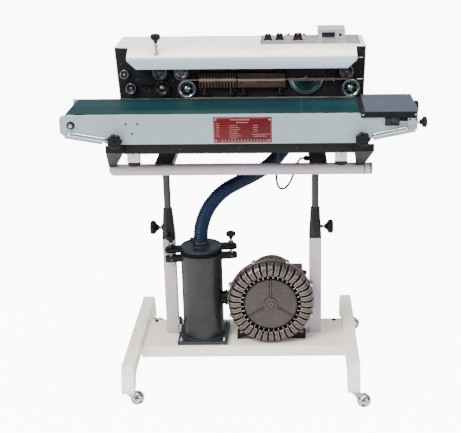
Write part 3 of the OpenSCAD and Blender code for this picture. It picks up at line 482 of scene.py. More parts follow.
def round_edges(profile, radius):
    """Cuts the corner at each inner point of a lathe's profile."""
    cut = [profile[0]]
    for before, here, after in zip(profile, profile[1:], profile[2:]):
        corner = Vector(here)
        for end in (Vector(before), Vector(after)):
            reach = min(radius, (end - corner).length * 0.45)
            cut.append(tuple(corner + (end - corner).normalized() * reach))
    return cut + [profile[-1]]


def lathe(profile, steps=40, soft=0):
    """A solid of revolution about Z through (radius, height) points, closed to the axis at both ends."""
    profile = list(profile)
    if profile[0][0]:
        profile.insert(0, (0, profile[0][1]))
    if profile[-1][0]:
        profile.append((0, profile[-1][1]))
    if soft:
        profile = round_edges(profile, soft)
    turns = [2 * math.pi * k / steps for k in range(steps)]
    rings = [[(r * math.cos(a), r * math.sin(a), z) for a in (turns if r else [0])] for r, z in profile]
    return skin(rings)


def hoop(profile, steps=48):
    """A ring about Z from a closed outline of (radius, height) points."""
    turns = [2 * math.pi * k / steps for k in range(steps)]
    return skin([[(r * math.cos(a), r * math.sin(a), z) for r, z in profile] for a in turns], loop=True)


def ring(inner, outer, z0, z1, steps=48):
    """A plain ring about Z with softened outer corners."""
    soft = min(0.25 * (outer - inner), 0.2 * (z1 - z0), 0.6)
    return hoop([
        (inner, z0), (outer - soft, z0), (outer, z0 + soft),
        (outer, z1 - soft), (outer - soft, z1), (inner, z1)
    ], steps)


def lobed(profile, lobes, depth, steps=84):
    """A solid about Z with scalloped rings: a profile point is (radius, height, share of the scallops)."""
    rings = []
    for r, z, share in profile:
        ring_points = []
        for a in [2 * math.pi * k / steps for k in range(steps)]:
            reach = r - depth * share * (1 - abs(math.cos(lobes * a / 2)) ** 0.6)
            ring_points.append((reach * math.cos(a), reach * math.sin(a), z))
        rings.append(ring_points)
    return skin([[(0, 0, profile[0][1])], *rings, [(0, 0, profile[-1][1])]])


def soft_box(size, radius=1, segments=2):
    """A box centred on the origin with rounded edges."""
    bm = bmesh.new()
    bmesh.ops.create_cube(bm, size=1)
    bmesh.ops.scale(bm, vec=Vector(size), verts=bm.verts)
    bmesh.ops.bevel(bm, geom=bm.edges[:], offset=radius, segments=segments, profile=0.5, affect="EDGES")
    return bm


def block(low_corner, high_corner, radius=1, segments=2):
    """A rounded box between two corners."""
    near, far = Vector(low_corner), Vector(high_corner)
    return moved(soft_box(far - near, radius, segments), (near + far) / 2)


def tube(points, radius_of, sides=24):
    """A closed tube along points; radius_of gives its radius at each share of its length."""
    side = (points[1] - points[0]).orthogonal()
    last = len(points) - 1
    rings = []
    for i, point in enumerate(points):
        along = (points[min(i + 1, last)] - points[max(i - 1, 0)]).normalized()
        side = (side - along * side.dot(along)).normalized()
        other = along.cross(side)
        r = radius_of(i / last)
        turns = [2 * math.pi * k / sides for k in range(sides)]
        rings.append([point + r * (math.cos(a) * side + math.sin(a) * other) for a in turns])
    return skin(rings)


def smooth_path(points, step):
    """Points about step apart on a smooth curve through a route."""
    points = [Vector(p) for p in points]
    ends = [2 * points[0] - points[1], *points, 2 * points[-1] - points[-2]]
    path = []
    for a, b, c, d in zip(ends, ends[1:], ends[2:], ends[3:]):
        count = max(1, round((c - b).length / step))
        for t in [k / count for k in range(count)]:
            path.append(0.5 * (2 * b + (c - a) * t + (2 * a - 5 * b + 4 * c - d) * t ** 2
                               + (3 * b - a - 3 * c + d) * t ** 3))
    return path + [points[-1]]


def path_length(path):
    """The length of a path's straight steps together."""
    return sum((b - a).length for a, b in zip(path, path[1:]))


def coil(r, wire, height, turns):
    """A compression spring about Z, standing on z = 0."""
    count = int(turns * 18)
    rings = []
    for k in range(count + 1):
        a = 2 * math.pi * turns * k / count
        out = Vector((math.cos(a), math.sin(a), 0))
        centre = r * out + Vector((0, 0, height * k / count))
        around = [2 * math.pi * i / 8 for i in range(8)]
        rings.append([centre + wire * (math.cos(b) * out + math.sin(b) * Vector(UP)) for b in around])
    return skin(rings)


def weld_bead(points, r=1.6):
    """A rippled bead along points."""
    path = smooth_path(points, 0.9)
    return tube(path, lambda t: r * (1 + 0.14 * math.sin(len(path) * t * 1.6)), 8)


def straight_bead(a, b, r):
    """A bead from one point straight to another."""
    return weld_bead([a, (a + b) / 2, b], r)


def hex_bolt(r=4.0, h=3.2):
    """A hexagon head on a washer, standing on z = 0."""
    washer = lathe([(1.45 * r, 0), (1.45 * r, 0.25 * r)], 24, soft=0.2)
    return joined(washer, lathe([(r * 1.08, 0.2 * r), (r * 1.08, h * 0.86), (r * 0.9, h)], 6))


def pan_screw(r=2.6):
    """A domed screw head with a cross recess, standing on z = 0."""
    dome = lathe([(r, 0), (r * 1.02, 0.15 * r), (0.85 * r, 0.5 * r), (0.5 * r, 0.68 * r), (0, 0.72 * r)], 20)
    bar = moved(soft_box((1.2 * r, 0.22 * r, 0.1 * r), 0.02 * r, 1), (0, 0, 0.70 * r))
    return joined(dome, copies(bar, (spin(0), spin(90))))


def socket_screw(r, h):
    """A cylinder head with a hexagon socket, standing on z = 0."""
    return lathe([(r, 0), (r, h * 0.88), (r * 0.9, h), (r * 0.5, h), (r * 0.42, h * 0.45)], 24)


def hand_knob(d, h, lobes):
    """A lobed hand knob on +Z from z = 0 to h, the size of the CAD knob."""
    profile = [
        (0.32, 0, 0), (0.36, 0.1, 0), (0.50, 0.26, 0), (0.86, 0.42, 0.5), (0.97, 0.48, 1),
        (1, 0.58, 1), (1, 0.80, 1), (0.96, 0.90, 1), (0.84, 0.97, 0.8), (0.62, 1, 0.2), (0.40, 1, 0),
        (0.36, 0.97, 0), (0.2, 0.965, 0)
    ]
    r = d / 2
    return lobed([(share * r, z * h, dip) for share, z, dip in profile], lobes, 0.20 * r)


# ---- Places taken from the CAD model ----

def low(node):
    """The corner of a node's box with the least coordinates."""
    return BOX[node][0]


def high(node):
    """The corner of a node's box with the greatest coordinates."""
    return BOX[node][1]


def mid(node):
    """The middle of a node's box."""
    return (low(node) + high(node)) / 2


def joint_at(name):
    """A joint's point and axis."""
    return Vector(JOINTS[name]["pos_m"]) / MM, Vector(JOINTS[name]["axis"])


def tip(node, point, axis):
    """How far a node reaches from a point along an axis."""
    corners = zip(low(node), high(node), point, axis)
    return sum(max((near - p) * a, (far - p) * a) for near, far, p, a in corners)


# ---- CAD nodes that stay ----

def dress_nodes():
    """Each visible CAD node gets its finish, and modifiers that join its flat faces and round its edges."""
    rounding = {
        "base_tray": 0.8, "feet": 1.0, "columns": 0.8, "pole_sleeves": 1.0, "canister_body": 0.7,
        "canister_lid": 1.2, "drain_cock": 0.5, "blower_housing": 1.2, "blower_motor": 0.5, "rails": 0.5,
        "lift_arms": 0.8, "machine_base": 1.0, "conveyor_brackets": 0.7, "head_box": 0.6,
        "mechanism_plate": 0.5, "hood": 0.7, "control_panel": 0.5, "counter_box": 1.0,
        "sealing_blocks": 0.3, "gearmotor": 1.0, "conveyor_belt": 0.5, "drive_roller": 0.6,
        "idler_roller": 0.5, "infeed_table": 0.7, "power_switch": 0.5, "heater_switch": 0.5,
        "speed_dial": 0.5, "sealing_bands": 0.1,
    }
    for name, node in NODES.items():
        mesh = node.data
        if "custom_normal" in mesh.attributes:
            mesh.attributes.remove(mesh.attributes["custom_normal"])
        mesh.polygons.foreach_set("use_smooth", [True] * len(mesh.polygons))
        mesh.materials.clear()
        mesh.materials.append(MATERIALS[SLOT_OF[name]])
        for label, kind, settings in (
            ("weld", "WELD", {"merge_threshold": 0.01 * MM}),
            ("flat", "DECIMATE", {
                "decimate_type": "DISSOLVE", "angle_limit": math.radians(1), "delimit": {"MATERIAL"}}),
            ("edges", "BEVEL", {
                "width": rounding.get(name, 0.4) * MM, "segments": 2, "limit_method": "ANGLE",
                "angle_limit": math.radians(34), "use_clamp_overlap": True}),
            ("join", "WELD", {"merge_threshold": 0.005 * MM}),
            ("normals", "WEIGHTED_NORMAL", {"weight": 60}),
        ):
            modifier = node.modifiers.new(label, kind)
            for setting, value in settings.items():
                setattr(modifier, setting, value)


def repaint_nodes():
    """Other finishes on parts of single CAD nodes: the faces whose middle passes a test."""
    poles = [joint_at(name)[0] for name in CLAMPS]

    def off_canister(c):
        return math.hypot(c.x + 136, c.y + 16)

    def at_pole(c):
        return any(math.hypot(c.x - p.x, c.y - p.y) < 10.6 for p in poles)

    for name, material, test in (
        ("lift_arms", "pole_chrome", lambda c: c.z < 653.9 and at_pole(c)),
        ("lift_arms", "black_plastic", lambda c: math.hypot(c.y + 15, c.z - 648) < 7.4 and 158 < c.x < 172),
        ("machine_base", "cream_paint",
         lambda c: 662 < c.z < 707.9 and min(abs(c.x + 303), abs(c.x - 259)) < 16.5),
        ("machine_base", "rubber", lambda c: c.z <= 663.2),
        ("machine_base", "black_plastic", lambda c: c.z < 708 and 80 < c.x < 170 or c.y > 176.5),
        ("conveyor_frame", "black_steel", lambda c: 365 < c.x < 403 and (c.y < -189.9 or c.y > -16.9)),
        ("front_panel", "frame_steel", lambda c: c.x > 423.9 and c.y < -190.1 and 788 < c.z < 807),
        ("idler_roller", "bolt_dark", lambda c: c.y < -185 or c.y > -17),
        ("drive_roller", "bolt_dark", lambda c: c.y < -185),
        ("infeed_table", "black_steel", lambda c: c.z < 821.9 or c.x < 313.9),
        ("rails", "rubber", lambda c: c.x > 322.1),
        # The hood's front face gets painted shade, a bluish darker copy of its cream top.
        ("hood", "hood_face_painted_shade", lambda c: c.y < -38.6 and c.z > 906),
        # The upper blocks get painted shade from the hood above them, a darker copy of the copper.
        ("sealing_blocks", "block_painted_shade", lambda c: c.z > 875),
        # Painted shade between the fins of the left block.
        ("sealing_blocks", "gap_painted_shade", lambda c: abs(c.y + 8) < 0.3 and c.x < -23),
        ("blower_housing", "black_steel", lambda c: c.z < 125.2 and (abs(c.x - 62.5) > 30 or c.z < 112)),
        # The canister's bottom band takes the lid's lighter paint: a painted highlight on the flange.
        ("canister_body", "lid_paint", lambda c: c.z < 119.2),
        ("canister_body", "black_steel", lambda c: 349 < c.z < 365 and off_canister(c) > 60),
        ("canister_body", "black_steel", lambda c: 205 < c.z < 260 and c.x > -78),
        ("canister_body", "bolt_zinc", lambda c: 120 < c.z < 200 and off_canister(c) > 60),
        ("canister_lid", "black_steel", lambda c: c.z < 392.5 and off_canister(c) > 61),
        ("control_panel", "lamp_red", lambda c: c.z > 959.7),
        ("counter_box", "bolt_dark", lambda c: c.y < 83.9),
    ):
        mesh = NODES[name].data
        mesh.materials.append(MATERIALS[material])
        for face in mesh.polygons:
            if test(face.center / MM):
                face.material_index = len(mesh.materials) - 1


# ---- Cords ----

def make_hose():
    """Corrugated hose from the lid's cuff to the port under the chassis, held by no body."""
    path = smooth_path([
        (-136, -16, 410), (-136, -16, 414), (-134.3, -15.6, 438), (-129, -14.3, 462),
        (-120.5, -12.1, 484.5), (-109, -9.2, 505.5), (-94, -5.6, 525), (-77, -1.3, 541.5),
        (-57.7, 3.5, 555.3), (-36.6, 8.8, 566), (-15, 14.5, 575.5), (7, 21, 585),
        (28, 28, 594.5), (46.8, 34.6, 604.5), (64.4, 40.8, 616.7), (80.6, 46.5, 631),
        (95.2, 51.7, 647), (108, 56.2, 664.5), (119, 60, 683.5)
    ], 0.82)
    crest, root, pitch = 21, 18.9, 6.6
    length = path_length(path)
    ridges = round(length / pitch)

    def radius(t):
        wave = 0.5 - 0.5 * math.cos(2 * math.pi * ridges * t)
        return root + (crest - root) * wave ** 0.7

    hose = piece("hose_corrugated", tube(path, radius, 36), "stand", "hose_plastic", sharp=80,
                 stands_for="hose")
    hose.parent = None
    del hose["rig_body"]
    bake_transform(hose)
    return path


def make_cable():
    """Sensor lead that hangs in a loop between the right cross arm and the machine base."""
    route = [
        (160, 648), (152, 648), (144, 640), (138, 628), (133, 612), (127, 595), (120, 579), (111, 566),
        (100, 559), (90, 563), (84, 576), (82, 593), (83, 612), (85, 633), (88, 656), (90, 680), (92, 696),
        (92, 708)
    ]
    path = smooth_path([(x, -15, z) for x, z in route], 2.5)
    cable = piece("sensor_cable", tube(path, lambda t: 3, 14), "lift", "cable_rubber", sharp=80,
                  stands_for="power_cable")
    return path


# ---- Knobs ----

def threaded(r, root, start, end, turns, flank):
    """The profile of a thread of triangular turns between two heights."""
    step = (end - start) / turns
    profile = []
    for k in range(turns):
        z = start + step * (k + 0.5)
        profile += [(root, z - flank * step), (r, z), (root, z + flank * step)]
    return profile


def grip(node, base, axis, d, h, stud_end, stud_r=4.0, lobes=7):
    """A lobed knob with a cap and a threaded stud, in place of a CAD knob."""
    place = at(base, axis)
    top = h * 0.96
    cap = lathe([(0.19 * d, top - 1), (0.19 * d, top + 0.4), (0.17 * d, top + 0.8)], 24)
    piece(node + "_grip", joined(hand_knob(d, h, lobes), cap), BODY_OF[node], "black_plastic", [place],
          48, node)
    turns = max(3, int(abs(stud_end) / 1.25 + 0.001))
    root = stud_r * 0.86
    thread = threaded(stud_r, root, stud_end, 2, turns, 0.4)
    stud = lathe([(stud_r * 0.8, stud_end), *thread, (root, 2)], 20)
    piece(node + "_stud", stud, BODY_OF[node], "bolt_zinc", [place])


def make_knobs():
    """Every knob that turns on a screw, with its nut, washer or spring."""
    for side in ("left", "right"):
        node = "sleeve_knob_" + side
        point, axis = joint_at("sleeve_clamp_" + side)
        grip(node, point + axis * (tip(node, point, axis) - 26), axis, 40, 26, -15)
        piece(node + "_lock_nut", lathe([(8, 0), (8, 3)], 6, soft=0.4), "stand", "bolt_dark",
              [at(point + axis * 17.5, axis)])

        node = "star_knob_" + side
        point, axis = joint_at("star_" + side + "_turn")
        base = point + axis * (tip(node, point, axis) - 26)
        grip(node, base, axis, 40, 26, -9)
        piece(node + "_washer", ring(4.2, 10.5, 0, 0.9, 32), "conveyor", "bolt_dark", [at(base - axis, axis)])

        node = "lid_clamp_" + side
        point, axis = joint_at("lid_clamp_swing_" + side)
        top = high(node).z
        grip(node, Vector((point.x, point.y, top - 22)), UP, 28, 22, point.z - top + 22, lobes=6)
        eye = moved(ring(3.05, 7, -4.2, 4.2, 32), at(point, axis))
        washer_and_nut = joined(ring(4.1, 8.6, 0, 1.2, 28), lathe([(7.2, 1.2), (7.2, 7), (6.4, 7.8)], 6))
        lug_top = (point.x, point.y, high("canister_lid").z - 17)
        piece(node + "_eye", joined(eye, moved(washer_and_nut, at(lug_top))), node, "bolt_dark")

    node = "pressure_knob"
    point, axis = joint_at("pressure_turn")
    top = high(node).z
    grip(node, Vector((point.x, point.y, top - 24)), axis, 26, 24, low(node).z - top + 24, 3, 6)
    spring = joined(coil(5, 0.6, 22, 6), ring(3.1, 7, 21.6, 22.8, 28), ring(3.1, 8, -2.5, 0, 6))
    piece("pressure_spring", spring, "lift", "bolt_zinc", [at((point.x, point.y, top - 54))])

    for side in ("front", "rear"):
        node = "tension_knob_" + side
        point, axis = joint_at("tension_" + side + "_turn")
        end = point + axis * tip(node, point, axis)
        knurled = lobed([
            (7, -20, 0), (7, -14.5, 0), (9, -13.6, 0), (13.2, -11.4, 0.4), (14.1, -10.6, 1), (14.1, -3.6, 1),
            (13, -2.2, 0.4), (9.5, -0.6, 0), (6, 0, 0), (5, -1, 0)
        ], 20, 1.1, 120)
        place = [at(end, axis)]
        piece(node + "_grip", knurled, BODY_OF[node], "black_plastic", place, 40, node)
        length = end.x - low(node).x
        turns = 46
        thread = threaded(3, 2.6, -length, -20, turns, 0.4 * turns / (length - 20))
        screw = lathe([(2.4, -length), *thread, (3, -20)], 18)
        piece(node + "_screw", screw, BODY_OF[node], "bolt_zinc", place)


# ---- Blower ----

def make_blower_cover():
    """Front casing: a ring of raised pads and pockets, with painted shade in the pockets and gaps, round a
    cast disc with three ribs and a hub.
    """
    node = "blower_cover"
    rear = high(node).y
    centre = Vector((mid(node).x, rear, mid(node).z))
    place = at(centre, FRONT)
    depth = rear - low(node).y
    r_out = (high(node).x - low(node).x) / 2
    face, crest = depth - 9, depth - 3
    outline = [(r_out - inset, z) for inset, z in (
        (0, 0), (0, 7), (0.8, 8), (3, 8.6), (3.2, 18), (4, 24), (7, 31), (12, crest - 2.5), (19, crest - 0.4),
        (27, crest - 0.6), (33, crest - 2.8), (37, face + 1.2), (38.5, face - 1.5), (43, face - 2.2),
        (47, face - 0.6), (49, face)
    )]
    outline += [(24, face), (20, face + 0.6), (18, crest - 0.8), (14, crest), (6, crest), (5, crest - 1.5)]
    pad_lifts = [(0, 0)] * 4 + [(2.16, 0.72)] * 3 + [(0.72, 2.28)] * 3 + [(-0.72, 2.28), (-0.48, 1.52)]
    no_lift = [(0, 0)] * (len(outline) - len(pad_lifts))
    pads = 36
    pad_marks = ((-0.5, 0), (-0.36, 0), (-0.325, 0.5), (-0.29, 1), (-0.17, 1), (0, 1), (0.17, 1), (0.29, 1),
                 (0.325, 0.5), (0.36, 0))
    rings = [[(0, 0, 0)]]
    for i, ((r, z), (out, up)) in enumerate(zip(outline, pad_lifts + no_lift)):
        sunk = 5 if i in (12, 13) else 0
        loop = []
        for pad in range(pads):
            for mark, raised in pad_marks:
                a = 2 * math.pi * (pad + mark) / pads
                share = raised - 0.35
                reach = r + out * share
                height = min(z - sunk + up * share, depth - 0.2)
                loop.append((reach * math.cos(a), reach * math.sin(a), height))
        rings.append(loop)
    rings.append([(0, 0, crest - 1.5)])
    cover = piece("blower_cover_casting", skin(rings), "stand", "cast_alloy", [place], sharp=42,
                  stands_for=node)

    # Faces of the sunk ring round the disc get painted shade; faces inside that ring get the disc's finish.
    cover.data.materials.append(MATERIALS["disc_cast"])
    cover.data.materials.append(MATERIALS["gap_painted_shade"])
    for polygon in cover.data.polygons:
        middle = polygon.center / MM - centre
        reach = math.hypot(middle.x, middle.z)
        if reach < r_out - 46:
            polygon.material_index = 1
        elif reach < r_out - 37.6:
            polygon.material_index = 2

    round_cover = [place @ spin(360 * (pad + 0.5) / pads) for pad in range(pads)]
    fin = block((r_out - 46, -1.1, face - 8), (r_out - 36, 1.1, face - 0.4), 0.4, 1)
    piece("blower_cover_fins", fin, "stand", "cast_alloy", round_cover)
    # Thin near-black quads in the pockets, and dark rings at the disc's edge and at the casing's split line:
    # painted shade.
    rows = []
    for i, (r, z) in enumerate(outline[4:13]):
        half = 2.3 + 0.12 * i
        rows.append([(r + d, w, z + d) for w, d in ((-half, 0.3), (half, 0.3), (half, -0.5), (-half, -0.5))])
    inner_gap = ring(r_out - 49.2, r_out - 45.6, face - 3, face + 0.35, 96)
    outer_gap = ring(r_out - 4.2, r_out - 2.2, 8, 11, 96)
    pockets = joined(copies(skin(rows), round_cover), moved(joined(inner_gap, outer_gap), place))
    piece("blower_cover_pockets", pockets, "stand", "gap_painted_shade")

    rib_turns = (90, 210, 330)
    rib = block((18, -1.3, face - 1), (r_out - 50, 1.3, face + 1.5), 0.7)
    ribs = joined(copies(rib, [spin(turn) for turn in rib_turns]), ring(5, 18.4, face - 1, crest - 0.4, 48))
    piece("blower_cover_ribs", ribs, "stand", "disc_cast", [place])
    # Painted shadow lines along both sides of each rib and round the hub; these are flat strips, not cut
    # grooves.
    beside = [block((20, y, face), (r_out - 50, y + 1.75, face + 0.25), 0.1, 1) for y in (-3, 1.25)]
    grooves = joined(copies(joined(*beside), [spin(turn) for turn in rib_turns]),
                     ring(18, 20.2, face - 1, face + 0.3, 48))
    piece("blower_cover_shadow_lines", grooves, "stand", "gap_painted_shade", [place])

    strokes = []
    count = 620
    golden = math.pi * (3 - math.sqrt(5))
    for k in range(count):
        r = math.sqrt(0.055 + 0.945 * (k + 0.5) / count) * (r_out - 52)
        a = golden * k
        off_rib = min(abs((math.degrees(a) - turn + 180) % 360 - 180) for turn in rib_turns)
        if r * math.radians(off_rib) >= 4.5 and r >= 22:
            sway = Matrix.Rotation(1.9 * math.sin(k * 2.7), 4, "Z")
            strokes.append(place @ Matrix.Rotation(a, 4, "Z") @ Matrix.Translation((r, 0, face - 0.1)) @ sway)
    piece("blower_cover_texture", soft_box((3.6, 1.2, 0.9), 0.4, 1), "stand", "disc_cast", strokes)

    round_flange = []
    for a in [math.radians(22.5 + 45 * k) for k in range(8)]:
        point = Vector((centre.x + (r_out + 1) * math.cos(a), rear - 8, centre.z + (r_out + 1) * math.sin(a)))
        if point.z >= high("base_tray").z + 14:
            round_flange.append(at(point, FRONT))
    ear = lathe([(6.5, -14), (6.5, 0)], 24, soft=0.8)
    piece("blower_flange_ears", ear, "stand", "cast_alloy", round_flange)
    piece("blower_flange_bolts", hex_bolt(3.4, 3.4), "stand", "bolt_zinc", round_flange)
    foot = grid((centre.x - 88, centre.x + 88), (rear + 10, rear + 32), [high("base_tray").z + 16])
    piece("blower_foot_bolts", hex_bolt(4, 3.6), "stand", "bolt_zinc", foot)


def make_motor_parts():
    """Screws, guard rings, terminal box lid and gland on the blower's motor."""
    rear = high("blower_motor").y
    x, z = mid("blower_cover").x, mid("blower_cover").z
    rings = joined(*(ring(r, r + 2.2, 0, 1.6) for r in (20, 34, 48)))
    piece("motor_guard_rings", rings, "stand", "motor_alloy", [at((x, rear - 0.6, z), REAR)])
    round_cowl = [Vector((math.cos(a), 0, math.sin(a))) for a in map(math.radians, (35, 145, 215, 325))]
    piece("motor_cowl_screws", pan_screw(2.4), "stand", "bolt_zinc",
          [at(Vector((x, rear - 24, z)) + out * 70, out) for out in round_cowl])
    lid = block((x + 41, 9, z + 64), (x + 91, 69, z + 66.2), 0.8)
    piece("terminal_box_lid", lid, "stand", "motor_alloy")
    corners = grid((x + 46, x + 86), (14, 64), [z + 66.2])
    piece("terminal_box_screws", pan_screw(2.2), "stand", "bolt_zinc", corners)
    gland = lathe([(9, 0), (9, 5), (7.4, 6), (7.4, 11), (5.2, 13)], 6)
    piece("terminal_box_gland", gland, "stand", "black_plastic", [at((x + 92, 40, z + 48), RIGHT)])


# ---- Filter canister ----

def hose_clip(name, body, point, axis):
    """A worm-drive clip round a hose cuff, coated black."""
    r = 23.1
    screw = lathe([(3, 0), (3, 5), (2.4, 5.8)], 6)
    housing = joined(block((r + 0.4, -6, -5), (r + 6.2, 6, 5), 1.2), moved(screw, at((r + 3.3, 6, 0), REAR)))
    band = ring(r, r + 0.9, -4.5, 4.5, 60)
    piece(name, joined(band, moved(housing, spin(250))), body, "bolt_dark", [at(point, axis)])


def make_canister_parts():
    """Welds, bands of the canister and a seal band of painted shade under the lid, its bolts, the pins of the
    lid's clamps and the pipe flange.
    """
    lid_top = high("canister_lid").z
    plate_top = lid_top - 18
    lid_pins = [joint_at("lid_clamp_swing_" + side) for side in ("left", "right")]
    middle = (lid_pins[0][0] + lid_pins[1][0]) / 2
    x, y = middle.x, middle.y
    flange = high("base_tray").z + 10
    rim = [(x, y, low("canister_lid").z)]
    # The base weld uses the same lighter paint, as part of the painted highlight on the flange.
    weld = weld_bead(circle(Vector((x, y, flange + 0.6)), 60, 40), 2.2)
    piece("canister_base_weld", weld, "stand", "lid_paint")
    # A wide black band round the lid's lower side: the rubber seal, drawn wide to carry painted shade under
    # the lid.
    seal = hoop([
        (57, 0.2), (59.4, 0.2), (59.4, 2.6), (58.2, 3.4), (58.2, 8), (59, 8.8), (59, 11.6), (57, 11.6)
    ], 72)
    piece("lid_gasket_and_shade", seal, "stand", "gap_painted_shade", rim)
    piece("canister_top_band", ring(57, 60.4, -9, -0.3, 72), "stand", "canister_paint", rim)
    piece("lid_rim", ring(55, 58.4, -0.4, 0.9, 72), "stand", "lid_paint", [(x, y, plate_top)])
    weld = weld_bead(circle(Vector((x, y, plate_top + 0.6)), 24, 24), 1.7)
    piece("cuff_weld", weld, "stand", "lid_paint")
    hose_clip("hose_clip_lower", "stand", (x, y, lid_top - 6), UP)
    corners = ((x - 62, x + 62), (y - 58, y + 60))
    piece("canister_flange_bolts", hex_bolt(4.4, 4), "stand", "bolt_zinc", grid(*corners, [flange]))
    stud = lathe([(2.4, 0), (2.4, 7), (2, 7.6)], 14)
    piece("canister_flange_studs", stud, "stand", "bolt_zinc", grid(*corners, [flange + 3]))
    pins = [at(point + axis * side * 14, axis * side) for point, axis in lid_pins for side in (-1, 1)]
    piece("lid_clamp_pin_heads", lathe([(4.6, 0), (4.6, 1.8)], 20, soft=0.4), "stand", "bolt_dark", pins)
    joint = at((low("blower_cover").x - 6, y - 6, mid("blower_cover").z - 2), RIGHT)
    piece("pipe_flange", ring(19.1, 22.5, -3, 3), "stand", "black_steel", [joint])


# ---- Stand ----

def make_stand_parts():
    """Welds, wipers, bolts and end caps of the stand, and its casters' washers and wheels."""
    tray_low, tray_high = low("base_tray"), high("base_tray")
    tray = tray_high.z
    half = 17.5
    columns = [joint_at(name)[0] for name in CLAMPS]
    beads = []
    for p in columns:
        turn = [Vector((p.x + dx, p.y + dy, tray + 0.4)) for dx, dy in (
            (-half * 1.03, -half * 1.03), (half * 1.03, -half * 1.03), (half * 1.03, half * 1.03),
            (-half * 1.03, half * 1.03))]
        beads += [straight_bead(a, b, 1.7) for a, b in zip(turn, turn[1:] + turn[:1])]
    for x in (tray_low.x, tray_high.x):
        for y in (tray_low.y, tray_high.y):
            beads.append(straight_bead(Vector((x, y, tray_low.z + 12)), Vector((x, y, tray)), 1.6))
        a, b = Vector((x, tray_low.y, tray + 0.2)), Vector((x, tray_high.y, tray + 0.2))
        beads.append(weld_bead([a, (a * 2 + b) / 3, (a + b * 2) / 3, b], 1.5))
    piece("stand_welds", joined(*beads), "stand", "stand_paint")

    tops = [(p.x, p.y, high("pole_sleeves").z) for p in columns]
    piece("sleeve_wipers", ring(10.1, 12.6, -1, 1.6, 40), "stand", "rubber", tops)

    feet_low, feet_high = low("feet"), high("feet")
    left, right = feet_low.x + half, feet_high.x - half
    places = [at((left - 9, -10, feet_high.z)), at((left + 12, 60, feet_high.z))]
    piece("foot_top_bolts", pan_screw(2.6), "stand", "bolt_dark", places)
    sheets = grid((left + 42, right - 42), [tray_high.y - 12], [tray])
    piece("tray_rear_bolts", hex_bolt(4.2, 4), "stand", "bolt_dark", sheets)
    ends = [(x, y, 0) for x in (left, right) for y in (feet_low.y + 0.3, feet_high.y - 0.3)]
    piece("foot_end_caps", block((-13.5, -0.5, 51), (13.5, 0.5, 60.5), 0.4), "stand", "cream_paint", ends)

    for corner in ("fl", "fr", "rl", "rr"):
        stem, _ = joint_at("swivel_" + corner)
        washer = lathe([(8.4, -2.6), (8.8, -1.6), (8.8, 0)], 28)
        piece("caster_washer_" + corner, washer, "stand", "bolt_zinc", [stem])
        make_caster_wheel(corner)


def make_caster_wheel(corner):
    """The rolling half-ball: a chromed shell with two grooves, a rubber seal ring on its open side, and a
    capped nut.
    """
    node = "caster_wheel_" + corner
    body = "wheel_" + corner
    centre, axis = joint_at("roll_" + corner)
    place = [at(centre, axis)]
    r = centre.z

    def arc(z0, z1, count):
        heights = [z0 + (z1 - z0) * k / count for k in range(count + 1)]
        return [(math.sqrt(max(r ** 2 - z * z, 0)), z) for z in heights]

    shell = lathe([
        *arc(2.5, 7, 5), (16, 7.2), *arc(7.8, 13.5, 7), (14, 13.8), *arc(14.4, 18.6, 7), (5.5, 18.2)
    ], 48)
    piece(node + "_shell", shell, body, "chrome", place, 25, node)
    cap = lathe([(4.4, 17), (4.4, 18.9), (3.4, 19.5), (1, 19.6), (1, 19.2)], 6)
    piece(node + "_nut", cap, body, "bolt_dark", place)
    seal = hoop([(12, 2), (18.9, 2), (18.9, 2.5), (12, 2.5)], 40)
    piece(node + "_seal", seal, body, "rubber", place)


# ---- Lifting frame and machine base ----

